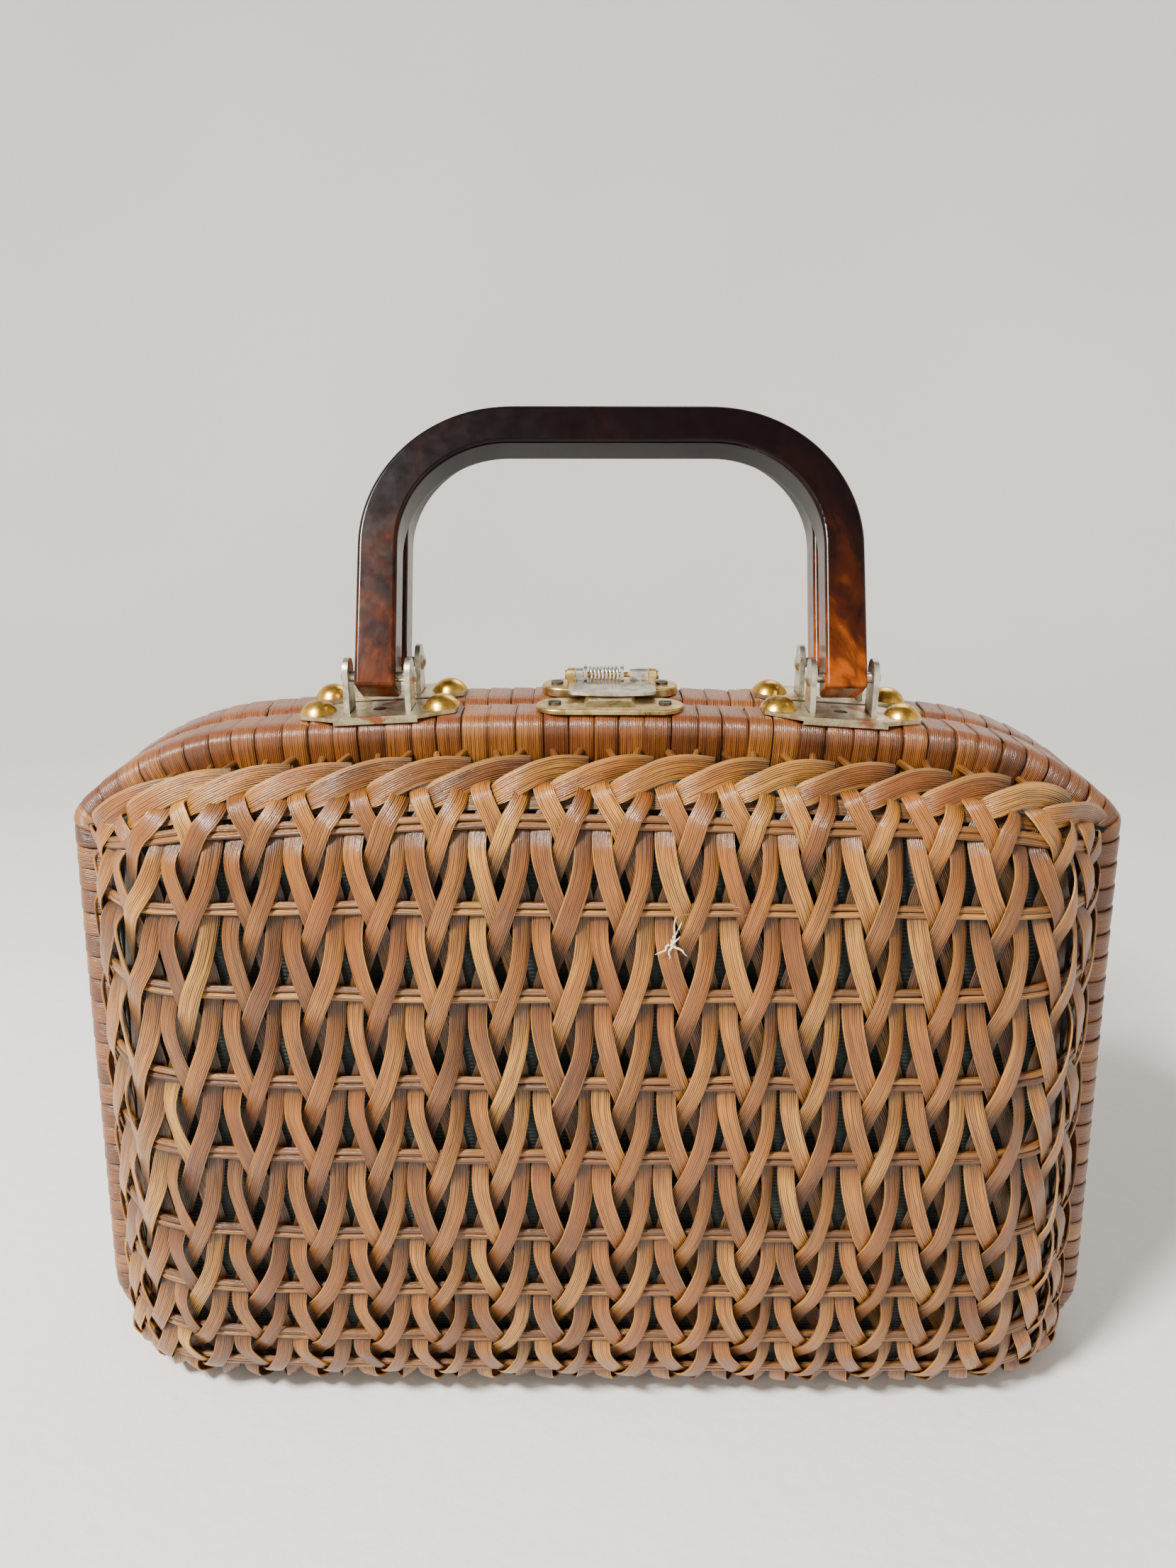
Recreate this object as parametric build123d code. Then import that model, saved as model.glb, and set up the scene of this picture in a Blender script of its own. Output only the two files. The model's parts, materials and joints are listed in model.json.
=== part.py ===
"""Clamshell basket box bag: two cane-rimmed woven trays that meet at an upright parting plane.

Units are millimetres. X runs along the bag, +Z is up and the front half lies on -Y.
The parting plane is Y = 0, the bag stands on Z = 0 and X = 0 is the middle of its body.
The bag is hinged along its bottom edge, closes with a sprung clasp on top and is carried
by two square-bar handles, one on each half, that lean back together.
"""

import os
from math import asin, degrees, sqrt

from build123d import *

# ---- body outline, seen from the front -------------------------------------------------
top_width = 313.5            # over the rim's top corners
bottom_width = 333.0         # over the rim's sides, low down
rim_top = 222.0              # highest point of the rim, at the middle of its arch
crown_half = 103.0           # half length of the shallow middle arch
crown_sag = 4.5              # drop of that arch at its ends
corner_drop = 30.5           # drop from the middle of the arch to the top corners
top_corner_radius = 8.0
bottom_corner_radius = 22.0

# ---- rim: a cane hoop with cane wrapped round it ---------------------------------------
rim_depth = 20.5             # front to back
rim_height = 16.5            # across, outside to inside of the hoop
rim_edge_radius = 5.5
wrap_thickness = 1.2
parting_gap = 0.4            # between the two rims

# ---- woven tray ------------------------------------------------------------------------
shell_wall = 3.0
lining_thickness = 1.0
lining_gap = 0.3
lining_hem = 1.2             # the lining's edge, out from the parting plane
# Sections of the tray, from the rim to its face: how far out from the rim each lies, and
# how far inside the rim's outline its sides, top and bottom are.
tray_sections = (
    {"out": 0.0, "side": 7.5, "top": 12.0, "bottom": 7.0},
    {"out": 17.0, "side": 17.0, "top": 9.5, "bottom": 2.5},
    {"out": 28.0, "side": 28.0, "top": 15.0, "bottom": 8.5},
    {"out": 33.5, "side": 39.5, "top": 33.0, "bottom": 27.0},
)

# ---- handles ---------------------------------------------------------------------------
fittings_x = 4.3             # handles and clasp sit this far right of the body's middle
pivot_back = 0.25            # each pivot, back towards the parting plane from the rim's middle
pivot_rise = 9.3             # pivot above the top of the rim's arch
handle_bar = 12.0            # square bar
handle_half_foot = 74.0      # outside half width at the pivots
handle_half_top = 76.0       # outside half width at the top
handle_length = 84.0         # pivot to the outside of the top bar
handle_heel = 4.8            # leg below the pivot
handle_bend_radius = 44.0    # outside of the two bends
handle_edge_radius = 1.2
handle_lean = 30.3           # degrees back from upright at rest

# ---- handle brackets -------------------------------------------------------------------
plate_length = 46.5
plate_edge = 1.05            # the plate's long edges, in from the rim's two faces
plate_thickness = 1.2
plate_end_width = 8.0        # the plate tapers to this at its two ends
plate_taper = 11.0
plate_corner_radius = 1.0
plate_lip = 2.2              # folded edge, measured from the top of the plate
lip_thickness = 0.8
ear_thickness = 1.6
ear_width = 9.0
ear_gap = 2.2                # leg to ear
ear_above_pivot = 5.5
strip_thickness = 1.0        # the strap under the plate that joins the two ears
fit_gap = 0.15               # round ears in their slots and the strap in its pocket
handle_pin_diameter = 3.2
pin_running = 0.05           # radial clearance of a pin in what turns on it
pin_head_diameter = 5.6
pin_head_height = 1.3

# ---- fasteners -------------------------------------------------------------------------
tack_spacing = 36.6
tack_diameter = 11.0
tack_height = 3.6
tack_shank_diameter = 1.6
tack_shank_length = 8.0
screw_head_diameter = 4.0
screw_head_height = 1.0
screw_shank_diameter = 1.8
screw_shank_length = 7.0
screw_slot = 0.6             # width of the slot across a screw's head
screw_slot_depth = 0.3
screw_end_gap = 1.0          # a screw is this much shorter than its hole
fastener_hole_gap = 0.05     # radial clearance of a shank in its hole
sunk_head_gap = 0.1          # radial clearance of a screw's head in a plate
cut_past = 1.0               # how far a cutting shape runs past the face it leaves by
weld = 0.01                  # overlap that joins a head to its shank

# ---- clasp -----------------------------------------------------------------------------
catch_length = 43.5
catch_width = 15.0
catch_thickness = 1.4
catch_out = 0.55             # middle of the catch, out from the rim's middle
hump_foot = 17.6
hump_head = 12.6
hump_front = 7.0             # front of the hump's foot, out from the middle of the plate
hump_slope = 5.0             # run of its front face
hump_height = 3.0
hump_wall = 0.9
hump_back = 0.5              # the hump stops this far short of the plate's edge
base_length = 42.0
base_width = 14.0
base_thickness = 2.6
base_back = 0.85             # middle of the base, back towards the parting plane
clasp_plate_edge = 0.6       # round on the top edges of both clasp plates
clasp_screw_spacing = 32.5
clasp_head_diameter = 3.8
clasp_head_height = 0.7
clasp_pin_back = 2.05        # the pin, back towards the parting plane from the rim's middle
clasp_pin_lift = 0.5         # underside of the knuckles, above the flap's underside
clasp_pin_diameter = 1.8
clasp_pin_head_diameter = 2.9
clasp_pin_head_length = 0.8
knuckle_diameter = 4.2
knuckle_gap = 0.2            # along the pin, between neighbours
flap_thickness = 1.0
flap_clearance = 0.5         # flap over the base plate
hump_clearance = 0.4         # flap over the hump
flap_reach = 17.4            # front edge of the flap, out from the pin
flap_corner = 4.0
flap_shoulder = 2.0          # the flap is this much wider than its knuckles, at each end
spring_window_gap = 0.5      # flap to the spring's washers, front and back
washer_diameter = 6.0
washer_thickness = 1.1
spring_diameter = 5.6
spring_wire = 0.8
spring_turns = 8
# Ends of each piece along the clasp's pin, from the middle of the fittings.
base_knuckles = ((-13.0, -10.6), (12.0, 14.3))
flap_knuckles = ((-10.4, -8.2), (6.2, 11.8))
spring_span = (-8.0, 4.4)

# ---- bottom hinges ---------------------------------------------------------------------
hinge_spacing = 170.0
leaf_length = 22.0
leaf_depth = 15.0
leaf_thickness = 0.8
hinge_axis_height = 1.7
hinge_knuckle_diameter = 3.0
hinge_pin_diameter = 1.4
hinge_centre_knuckle = 7.6
hinge_knuckle_gap = 0.2
leaf_clearance = 0.4         # a leaf from the other leaf's knuckle
hinge_screw_spacing = 13.0
hinge_screw_y = 9.5
hinge_screw_head = 3.2

rim_bottom = leaf_thickness
rim_face = parting_gap / 2 + rim_depth
rim_middle = parting_gap / 2 + rim_depth / 2
plate_width = rim_depth - 2 * plate_edge
pivot_y = rim_middle - pivot_back
catch_y = -rim_middle - catch_out
base_y = rim_middle - base_back
clasp_pin_y = rim_middle - clasp_pin_back
half_top = top_width / 2
half_bottom = bottom_width / 2
pivot_z = rim_top + pivot_rise
leg_centre = handle_half_foot - handle_bar / 2
crown_radius = (crown_half**2 + crown_sag**2) / (2 * crown_sag)
ear_x = handle_bar / 2 + ear_gap + ear_thickness / 2
sides = {"left": -1, "right": 1}
halves = ("front", "rear")

parts = {}


def crown_height(x):
    """Height of the rim's arched top at x, within its middle stretch."""
    return rim_top - crown_radius + sqrt(crown_radius**2 - x**2)


def crown_slope(x):
    """Turn about Y, in degrees, that lays a level plate on the arch at x."""
    return degrees(asin(x / crown_radius))


def outline(side=0.0, top=0.0, bottom=0.0):
    """Face in XY (drawn X and Z) of the body's outline, moved in by the three insets."""
    corner = (half_top - side, rim_top - corner_drop - top)
    low_corner = (half_bottom - side, rim_bottom + bottom)
    reach = crown_half * corner[0] / half_top
    shoulder = (reach, rim_top - crown_sag - top)
    crown = ThreePointArc((-shoulder[0], shoulder[1]), (0, rim_top - top), shoulder)
    right_shoulder = TangentArc(shoulder, corner, tangent=crown % 1)
    right_side = Line(corner, low_corner)
    base = Line(low_corner, (-low_corner[0], low_corner[1]))
    left_side = mirror(right_side, about=Plane.YZ)
    left_shoulder = mirror(right_shoulder, about=Plane.YZ)
    face = make_face([crown, right_shoulder, right_side, base, left_side, left_shoulder])
    low = face.vertices().sort_by(Axis.Y)[:2]
    face = fillet(low, bottom_corner_radius)
    corners = []
    for vertex in face.vertices():
        if abs(abs(vertex.X) - corner[0]) < 0.01 and abs(vertex.Y - corner[1]) < 0.01:
            corners.append(vertex)
    return fillet(corners, top_corner_radius)


def at_depth(face, out):
    """Stand a drawn face up at this distance in front of the parting plane."""
    return Plane.XZ.offset(out) * face


def slab(face, near, far):
    """Solid between two distances in front of the parting plane."""
    return extrude(at_depth(face, near), amount=far - near)


def ring(outer_inset, inner_inset, near, far):
    """Hoop that follows the body's outline, between two insets and two depths."""
    whole = outline(outer_inset, outer_inset, outer_inset)
    hole = outline(inner_inset, inner_inset, inner_inset)
    return slab(whole, near, far) - slab(hole, near - cut_past, far + cut_past)


def round_hoop(hoop, inset, radius):
    """Round the long outer edges of a hoop whose outline is moved in by inset."""
    inner = outline(inset + 2.0, inset + 2.0, inset + 2.0)
    long_edges = []
    for edge in hoop.edges():
        middle = edge @ 0.5
        lies_flat = edge.bounding_box().size.Y < 0.01
        if lies_flat and not inner.is_inside(Vector(middle.X, middle.Z, 0)):
            long_edges.append(edge)
    return fillet(long_edges, radius)


def section_outline(section, inset):
    """Outline of one tray section, moved in by inset."""
    return outline(section["side"] + inset, section["top"] + inset, section["bottom"] + inset)


def tray(inset):
    """Solid block inside the woven tray's outline, moved in by inset."""
    faces = []
    for section in tray_sections:
        drop = inset if section is tray_sections[-1] else 0.0
        faces.append(at_depth(section_outline(section, inset), rim_face + section["out"] - drop))
    return loft(faces, ruled=True)


def rear_copy(shape):
    """The rear half's piece: the front one mirrored in the parting plane."""
    return mirror(shape, about=Plane.XZ)


def fitting_frame(side):
    """Frame on top of the front rim at one handle foot, laid to the arch's slope."""
    x = fittings_x + sides[side] * leg_centre
    return Pos(x, -pivot_y, crown_height(x)) * Rot(0, crown_slope(x), 0)


def rod(diameter, length):
    """Cylinder along Z that hangs below the origin."""
    return Cylinder(diameter / 2, length, align=(Align.CENTER, Align.CENTER, Align.MAX))


def cross_rod(diameter, start, end):
    """Cylinder along X between two places."""
    bar = Cylinder(diameter / 2, end - start, align=(Align.CENTER, Align.CENTER, Align.MIN))
    return Pos(start, 0, 0) * Rot(0, 90, 0) * bar


def dome(diameter, height):
    """Part of a ball, flat side on the XY plane."""
    radius = ((diameter / 2)**2 + height**2) / (2 * height)
    arc = ThreePointArc((0, height), radial_point(radius, height, diameter / 4), (diameter / 2, 0))
    face = make_face([arc, Line((diameter / 2, 0), (0, 0)), Line((0, 0), (0, height))])
    return revolve(Plane.XZ * face, axis=Axis.Z)


def radial_point(radius, height, x):
    """Point of a dome's outline at this distance from its axis."""
    return (x, height - radius + sqrt(radius**2 - x**2))


# ---- rims, trays and linings -----------------------------------------------------------

def rim_pockets(clasp_y):
    """All that is cut from a front hoop and its wrapping, with the clasp's screws at clasp_y."""
    cuts = []
    hole = tack_shank_diameter + 2 * fastener_hole_gap
    screw_hole = screw_shank_diameter + 2 * fastener_hole_gap
    strap_length = 2 * ear_x + ear_thickness + 2 * fit_gap
    for side in sides:
        frame = fitting_frame(side)
        pocket = Box(strap_length, ear_width + 2 * fit_gap, 2 * (strip_thickness + fit_gap))
        cuts.append(frame * pocket)
        for end in (-1, 1):
            place = frame * Pos(end * tack_spacing / 2, 0, cut_past)
            cuts.append(place * rod(hole, tack_shank_length + 2 * cut_past))
        cuts.append(frame * Pos(0, 0, cut_past) * rod(screw_hole, screw_shank_length + 2 * cut_past))
    for end in (-1, 1):
        place = Pos(fittings_x + end * clasp_screw_spacing / 2, clasp_y, rim_top + cut_past)
        cuts.append(place * rod(screw_hole, screw_shank_length + cut_past))
    for place in hinge_screw_places():
        low_hole = Rot(180, 0, 0) * rod(screw_hole, screw_shank_length + cut_past)
        cuts.append(Pos(place[0], -place[1], 0) * low_hole)
    return cuts


def hinge_screw_places():
    """X and distance from the parting plane of each bottom hinge screw in one half."""
    places = []
    for side in sides.values():
        for end in (-1, 1):
            places.append((side * hinge_spacing / 2 + end * hinge_screw_spacing / 2, hinge_screw_y))
    return places


def make_rims():
    near = parting_gap / 2
    wrap = ring(0, rim_height, near, rim_face)
    wrap = round_hoop(wrap, 0, rim_edge_radius)
    core = ring(
        wrap_thickness, rim_height - wrap_thickness, near + wrap_thickness, rim_face - wrap_thickness
    )
    core = round_hoop(core, wrap_thickness, rim_edge_radius - wrap_thickness)
    wrap -= core
    for half, clasp_y in (("front", catch_y), ("rear", -base_y)):
        pockets = rim_pockets(clasp_y)
        for name, shape in (("rim_wrapping", wrap), ("rim_hoop", core)):
            for cut in pockets:
                shape = shape - cut
            parts[f"{half}_{name}"] = shape if half == "front" else rear_copy(shape)


def lining_block(inset, in_rim, shift):
    """Solid block of the lining's outline: a neck through the rim and the tray beyond it."""
    neck = slab(outline(in_rim, in_rim, in_rim), lining_hem - shift, rim_face + shift)
    body = tray(inset)
    if shift > 0:
        body -= slab(outline(), rim_face - cut_past, rim_face + shift)
    return body + neck


def make_trays():
    shell = tray(0) - tray(shell_wall)
    inset = shell_wall + lining_gap
    in_rim = rim_height + lining_gap
    lining = lining_block(inset, in_rim, 0)
    lining -= lining_block(inset + lining_thickness, in_rim + lining_thickness, lining_thickness)
    for half in halves:
        front = half == "front"
        parts[f"{half}_woven_tray"] = shell if front else rear_copy(shell)
        parts[f"{half}_lining"] = lining if front else rear_copy(lining)


# ---- handles and their brackets --------------------------------------------------------

def plate_blank(length, width, end_width, taper):
    """Drawn plate whose ends taper."""
    points = [
        (-length / 2, -end_width / 2),
        (-length / 2 + taper, -width / 2),
        (length / 2 - taper, -width / 2),
        (length / 2, -end_width / 2),
        (length / 2, end_width / 2),
        (length / 2 - taper, width / 2),
        (-length / 2 + taper, width / 2),
        (-length / 2, end_width / 2),
    ]
    return fillet(make_face(Polyline(*points, close=True)).vertices(), plate_corner_radius)


def handle_plate(side):
    """Tapered plate with a folded front and rear edge, two slots and three holes."""
    blank = plate_blank(plate_length, plate_width, plate_end_width, plate_taper)
    plate = extrude(blank, amount=plate_thickness)
    middle = plate_length - 2 * plate_taper
    lip_drop = plate_lip - plate_thickness
    for edge in (-1, 1):
        lip = Box(middle, lip_thickness, lip_drop, align=(Align.CENTER, Align.CENTER, Align.MAX))
        plate += Pos(0, edge * (plate_width - lip_thickness) / 2, 0) * lip
    tack_hole = tack_shank_diameter + 2 * fastener_hole_gap
    for end in (-1, 1):
        slot = Box(ear_thickness + 4 * fit_gap, ear_width + 2 * fit_gap, 3 * plate_thickness)
        plate -= Pos(end * ear_x, 0, plate_thickness / 2) * slot
        place = Pos(end * tack_spacing / 2, 0, 2 * plate_thickness)
        plate -= place * rod(tack_hole, 3 * plate_thickness)
    head_hole = screw_head_diameter + 2 * sunk_head_gap
    plate -= Pos(0, 0, 2 * plate_thickness) * rod(head_hole, 3 * plate_thickness)
    return fitting_frame(side) * plate


def ear_bracket(side):
    """Strap under the plate whose two upright ears carry the handle's pin."""
    strap_length = 2 * ear_x + ear_thickness
    hung = (Align.CENTER, Align.CENTER, Align.MAX)
    strap = Box(strap_length, ear_width, strip_thickness, align=hung)
    screw_hole = screw_shank_diameter + 2 * fastener_hole_gap
    strap -= Pos(0, 0, cut_past) * rod(screw_hole, strip_thickness + 2 * cut_past)
    bracket = fitting_frame(side) * strap
    leg_x = fittings_x + sides[side] * leg_centre
    for end in (-1, 1):
        bracket += Pos(leg_x + end * ear_x, -pivot_y, 0) * ear(leg_x + end * ear_x)
    hole = cross_rod(handle_pin_diameter, leg_x - 2 * ear_x, leg_x + 2 * ear_x)
    return bracket - Pos(0, -pivot_y, pivot_z) * hole


def ear(x):
    """One upright ear, rounded over the pin, down to the strap at x."""
    foot = crown_height(x) - strip_thickness / 2
    top = pivot_z + ear_above_pivot - ear_width / 2
    stood = (Align.CENTER, Align.CENTER, Align.MIN)
    upright = Box(ear_thickness, ear_width, top - foot, align=stood)
    head = Pos(0, 0, top) * cross_rod(ear_width, -ear_thickness / 2, ear_thickness / 2)
    return Pos(0, 0, foot) * upright + head


def handle_pin(side):
    """Peened pin through both ears and the leg."""
    leg_x = fittings_x + sides[side] * leg_centre
    outside = ear_x + ear_thickness / 2
    pin = cross_rod(handle_pin_diameter, -outside - weld, outside + weld)
    head = dome(pin_head_diameter, pin_head_height)
    for end in (-1, 1):
        pin += Pos(end * outside, 0, 0) * Rot(0, end * 90, 0) * head
    return Pos(leg_x, -pivot_y, pivot_z) * pin


def handle_at(y):
    """Square-bar handle with two wide bends, leaning back over the pivots at y."""
    outer = handle_outline(0, handle_bend_radius)
    inner = handle_outline(handle_bar, handle_bend_radius - handle_bar)
    face = outer - inner
    handle = extrude(Plane.XZ.offset(-handle_bar / 2) * face, amount=handle_bar)
    handle = fillet(handle.edges(), handle_edge_radius)
    reach = handle_half_top + 1
    handle -= cross_rod(handle_pin_diameter + 2 * pin_running, -reach, reach)
    return Pos(fittings_x, y, pivot_z) * Rot(-handle_lean, 0, 0) * handle


def handle_outline(inset, radius):
    """Drawn outline of the handle about its pivots, moved in by inset at sides and top."""
    foot = handle_half_foot - inset
    top = handle_half_top - inset
    points = [
        (-foot, -handle_heel),
        (-top, handle_length - inset),
        (top, handle_length - inset),
        (foot, -handle_heel),
    ]
    face = make_face(Polyline(*points, close=True))
    return fillet(face.vertices().sort_by(Axis.Y)[-2:], radius)


def tack(frame):
    """Domed upholstery tack whose head sits on a plate."""
    head = dome(tack_diameter, tack_height)
    shank = Pos(0, 0, weld) * rod(tack_shank_diameter, tack_shank_length)
    return frame * Pos(0, 0, plate_thickness) * (head + shank)


def screw(head_diameter, head_height, top):
    """Low slotted screw; top is the height of its head's upper face above the origin."""
    head = rod(head_diameter, head_height)
    shank = rod(screw_shank_diameter, head_height + screw_shank_length - screw_end_gap)
    slot = Box(head_diameter + 2 * cut_past, screw_slot, 2 * screw_slot_depth)
    return Pos(0, 0, top) * (head + shank - slot)


def make_handle_fittings():
    tacks = []
    screws = []
    pins = []
    for side in sides:
        frame = fitting_frame(side)
        for end in (-1, 1):
            tacks.append(tack(frame * Pos(end * tack_spacing / 2, 0, 0)))
        screws.append(frame * screw(screw_head_diameter, screw_head_height, screw_head_height))
        pins.append(handle_pin(side))
        fittings = {"handle_plate": handle_plate(side), "ear_bracket": ear_bracket(side)}
        for name, shape in fittings.items():
            parts[f"front_{side}_{name}"] = shape
            parts[f"rear_{side}_{name}"] = rear_copy(shape)
    for name, group in (("tacks", tacks), ("bracket_screws", screws), ("handle_pins", pins)):
        parts[f"front_{name}"] = Compound(children=group)
        parts[f"rear_{name}"] = Compound(children=[rear_copy(one) for one in group])
    parts["front_handle"] = handle_at(-pivot_y)
    parts["rear_handle"] = handle_at(pivot_y)


# ---- clasp -----------------------------------------------------------------------------

clasp_base_top = rim_top + base_thickness
flap_bottom = clasp_base_top + flap_clearance
clasp_pin_z = flap_bottom + knuckle_diameter / 2 + clasp_pin_lift
hump_top = flap_bottom - hump_clearance


def clasp_screws(y, top):
    """Two screws at the ends of a clasp plate, with their heads on it."""
    group = []
    for end in (-1, 1):
        head = screw(clasp_head_diameter, clasp_head_height, clasp_head_height)
        group.append(Pos(fittings_x + end * clasp_screw_spacing / 2, y, top) * head)
    return Compound(children=group)


def stadium_plate(length, width, thickness):
    """Plate with round ends and a softened top edge, standing on the XY plane."""
    plate = extrude(SlotOverall(length, width), amount=thickness)
    plate = fillet(plate.faces().sort_by(Axis.Z)[-1].edges(), clasp_plate_edge)
    hole = screw_shank_diameter + 2 * fastener_hole_gap
    for end in (-1, 1):
        place = Pos(end * clasp_screw_spacing / 2, 0, thickness + cut_past)
        plate -= place * rod(hole, thickness + 2 * cut_past)
    return plate


def catch_plate():
    """Front plate of the clasp, with the pressed hump that the flap closes over."""
    plate = stadium_plate(catch_length, catch_width, catch_thickness)
    height = hump_top - rim_top
    outside = hump_block(0, height)
    inside = hump_block(hump_wall, height - hump_wall)
    plate = plate + outside - inside
    return Pos(fittings_x, catch_y, rim_top) * plate


def hump_block(inset, height):
    """Drawn from the side: a sloping front and a level top, then tapered to the head."""
    back = catch_width / 2 - hump_back
    low = make_face(Polyline(
        (-hump_foot / 2 + inset, -hump_front + inset),
        (hump_foot / 2 - inset, -hump_front + inset),
        (hump_foot / 2 - inset, back + inset),
        (-hump_foot / 2 + inset, back + inset),
        close=True,
    ))
    high = make_face(Polyline(
        (-hump_head / 2 + inset, -hump_front + hump_slope + inset),
        (hump_head / 2 - inset, -hump_front + hump_slope + inset),
        (hump_head / 2 - inset, back + inset),
        (-hump_head / 2 + inset, back + inset),
        close=True,
    ))
    return loft([low, Pos(0, 0, height) * high], ruled=True)


def clasp_base():
    """Rear plate of the clasp, with a curled knuckle at each end of the pin."""
    blank = stadium_plate(base_length, base_width, base_thickness)
    plate = Pos(fittings_x, base_y, rim_top) * blank
    bore = clasp_pin_diameter + 2 * pin_running
    line = Pos(fittings_x, clasp_pin_y, clasp_pin_z)
    for start, end in base_knuckles:
        riser = Box(
            end - start, knuckle_diameter, clasp_pin_z - rim_top - base_thickness / 2,
            align=(Align.MIN, Align.CENTER, Align.MAX),
        )
        plate += line * (Pos(start, 0, 0) * riser + cross_rod(knuckle_diameter, start, end))
        plate -= line * cross_rod(bore, start - cut_past, end + cut_past)
    return plate


def clasp_flap():
    """Sprung flap: a plate with a bowed front edge, hung from two curled knuckles."""
    start = flap_knuckles[0][0]
    end = flap_knuckles[-1][1]
    middle = (start + end) / 2
    back = knuckle_diameter / 2
    left = start - flap_shoulder
    right = end + flap_shoulder
    corner_y = -flap_reach + flap_corner / 2
    shoulder_y = -back - knuckle_gap
    front = ThreePointArc((left, corner_y), (middle, -flap_reach), (right, corner_y))
    rest = Polyline(
        (right, corner_y),
        (right, shoulder_y),
        (end, shoulder_y),
        (end, 0),
        (start, 0),
        (start, shoulder_y),
        (left, shoulder_y),
        (left, corner_y),
    )
    blank = make_face([front, *rest.edges()])
    flap = extrude(blank, amount=flap_thickness)
    front_corners = flap.edges().filter_by(Axis.Z).sort_by(Axis.Y)[:2]
    flap = fillet(front_corners, flap_corner / 2)
    window = Box(
        flap_knuckles[1][0] - flap_knuckles[0][1],
        washer_diameter + 2 * spring_window_gap,
        3 * flap_thickness,
        align=(Align.MIN, Align.CENTER, Align.CENTER),
    )
    flap -= Pos(flap_knuckles[0][1], 0, 0) * window
    flap = Pos(0, 0, flap_bottom - clasp_pin_z) * flap
    bore = clasp_pin_diameter + 2 * pin_running
    for low, high in flap_knuckles:
        flap += cross_rod(knuckle_diameter, low, high)
        flap -= cross_rod(bore, low - cut_past, high + cut_past)
    return Pos(fittings_x, clasp_pin_y, clasp_pin_z) * flap


def clasp_spring_coil():
    """Close-wound torsion spring as one ribbed sleeve; each rib is a turn."""
    start, end = spring_span
    start += washer_thickness + knuckle_gap / 2
    end -= washer_thickness + knuckle_gap / 2
    pitch = (end - start) / spring_turns
    inner = spring_diameter / 2 - spring_wire
    mean = inner + spring_wire / 2
    sleeve = Pos(start, 0, 0) * Rot(0, 90, 0) * turn_ring(inner, mean, 0, end - start)
    for turn in range(spring_turns):
        centre = start + (turn + 0.5) * pitch
        rib = Torus(mean, min(spring_wire, pitch) / 2)
        sleeve += Pos(centre, 0, 0) * Rot(0, 90, 0) * rib
    return Pos(fittings_x, clasp_pin_y, clasp_pin_z) * sleeve


def turn_ring(inner, outer, low, high):
    """Plain tube along Z."""
    corners = ((inner, low), (outer, low), (outer, high), (inner, high))
    return revolve(Plane.XZ * make_face(Polyline(*corners, close=True)), axis=Axis.Z)


def clasp_washers():
    """Two flanged washers that hold the spring's ends on the pin."""
    start, end = spring_span
    spans = ((start, start + washer_thickness), (end - washer_thickness, end))
    bore = clasp_pin_diameter + 2 * pin_running
    line = Pos(fittings_x, clasp_pin_y, clasp_pin_z)
    group = []
    for low, high in spans:
        hole = cross_rod(bore, low - cut_past, high + cut_past)
        group.append(line * (cross_rod(washer_diameter, low, high) - hole))
    return Compound(children=group)


def clasp_pin():
    """Pin with a small upset head at each end."""
    left = base_knuckles[0][0]
    right = base_knuckles[-1][1]
    head = clasp_pin_head_length
    pin = cross_rod(clasp_pin_diameter, left - head, right + head)
    pin += cross_rod(clasp_pin_head_diameter, left - head, left)
    pin += cross_rod(clasp_pin_head_diameter, right, right + head)
    return Pos(fittings_x, clasp_pin_y, clasp_pin_z) * pin


def make_clasp():
    parts["catch_plate"] = catch_plate()
    parts["catch_screws"] = clasp_screws(catch_y, rim_top + catch_thickness)
    parts["clasp_base_plate"] = clasp_base()
    parts["clasp_base_screws"] = clasp_screws(base_y, clasp_base_top)
    parts["clasp_flap"] = clasp_flap()
    parts["clasp_spring"] = clasp_spring_coil()
    parts["clasp_spring_washers"] = clasp_washers()
    parts["clasp_pin"] = clasp_pin()


# ---- bottom hinges ---------------------------------------------------------------------

def hinge_leaf(x, knuckle_spans, other_spans):
    """Front leaf of one bottom hinge, let down from its knuckles onto the ground plane."""
    near = leaf_clearance
    align = (Align.CENTER, Align.MAX, Align.MIN)
    leaf = Box(leaf_length, leaf_depth - near, leaf_thickness, align=align)
    leaf = Pos(0, -near, 0) * leaf
    reach = hinge_knuckle_diameter / 2 + leaf_clearance
    for start, end in other_spans:
        notch = Box(
            end - start + 2 * hinge_knuckle_gap, 2 * reach, 4 * leaf_thickness,
            align=(Align.MIN, Align.CENTER, Align.CENTER),
        )
        leaf -= Pos(start - hinge_knuckle_gap, 0, 0) * notch
    bore = hinge_pin_diameter + 2 * pin_running
    line = Pos(0, 0, hinge_axis_height)
    for start, end in knuckle_spans:
        leaf += line * cross_rod(hinge_knuckle_diameter, start, end)
        leaf -= line * cross_rod(bore, start - cut_past, end + cut_past)
    hole = hinge_screw_head + 2 * fastener_hole_gap
    for end in (-1, 1):
        place = Pos(end * hinge_screw_spacing / 2, -hinge_screw_y, 2 * leaf_thickness)
        leaf -= place * rod(hole, 4 * leaf_thickness)
    return Pos(x, 0, 0) * leaf


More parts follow.
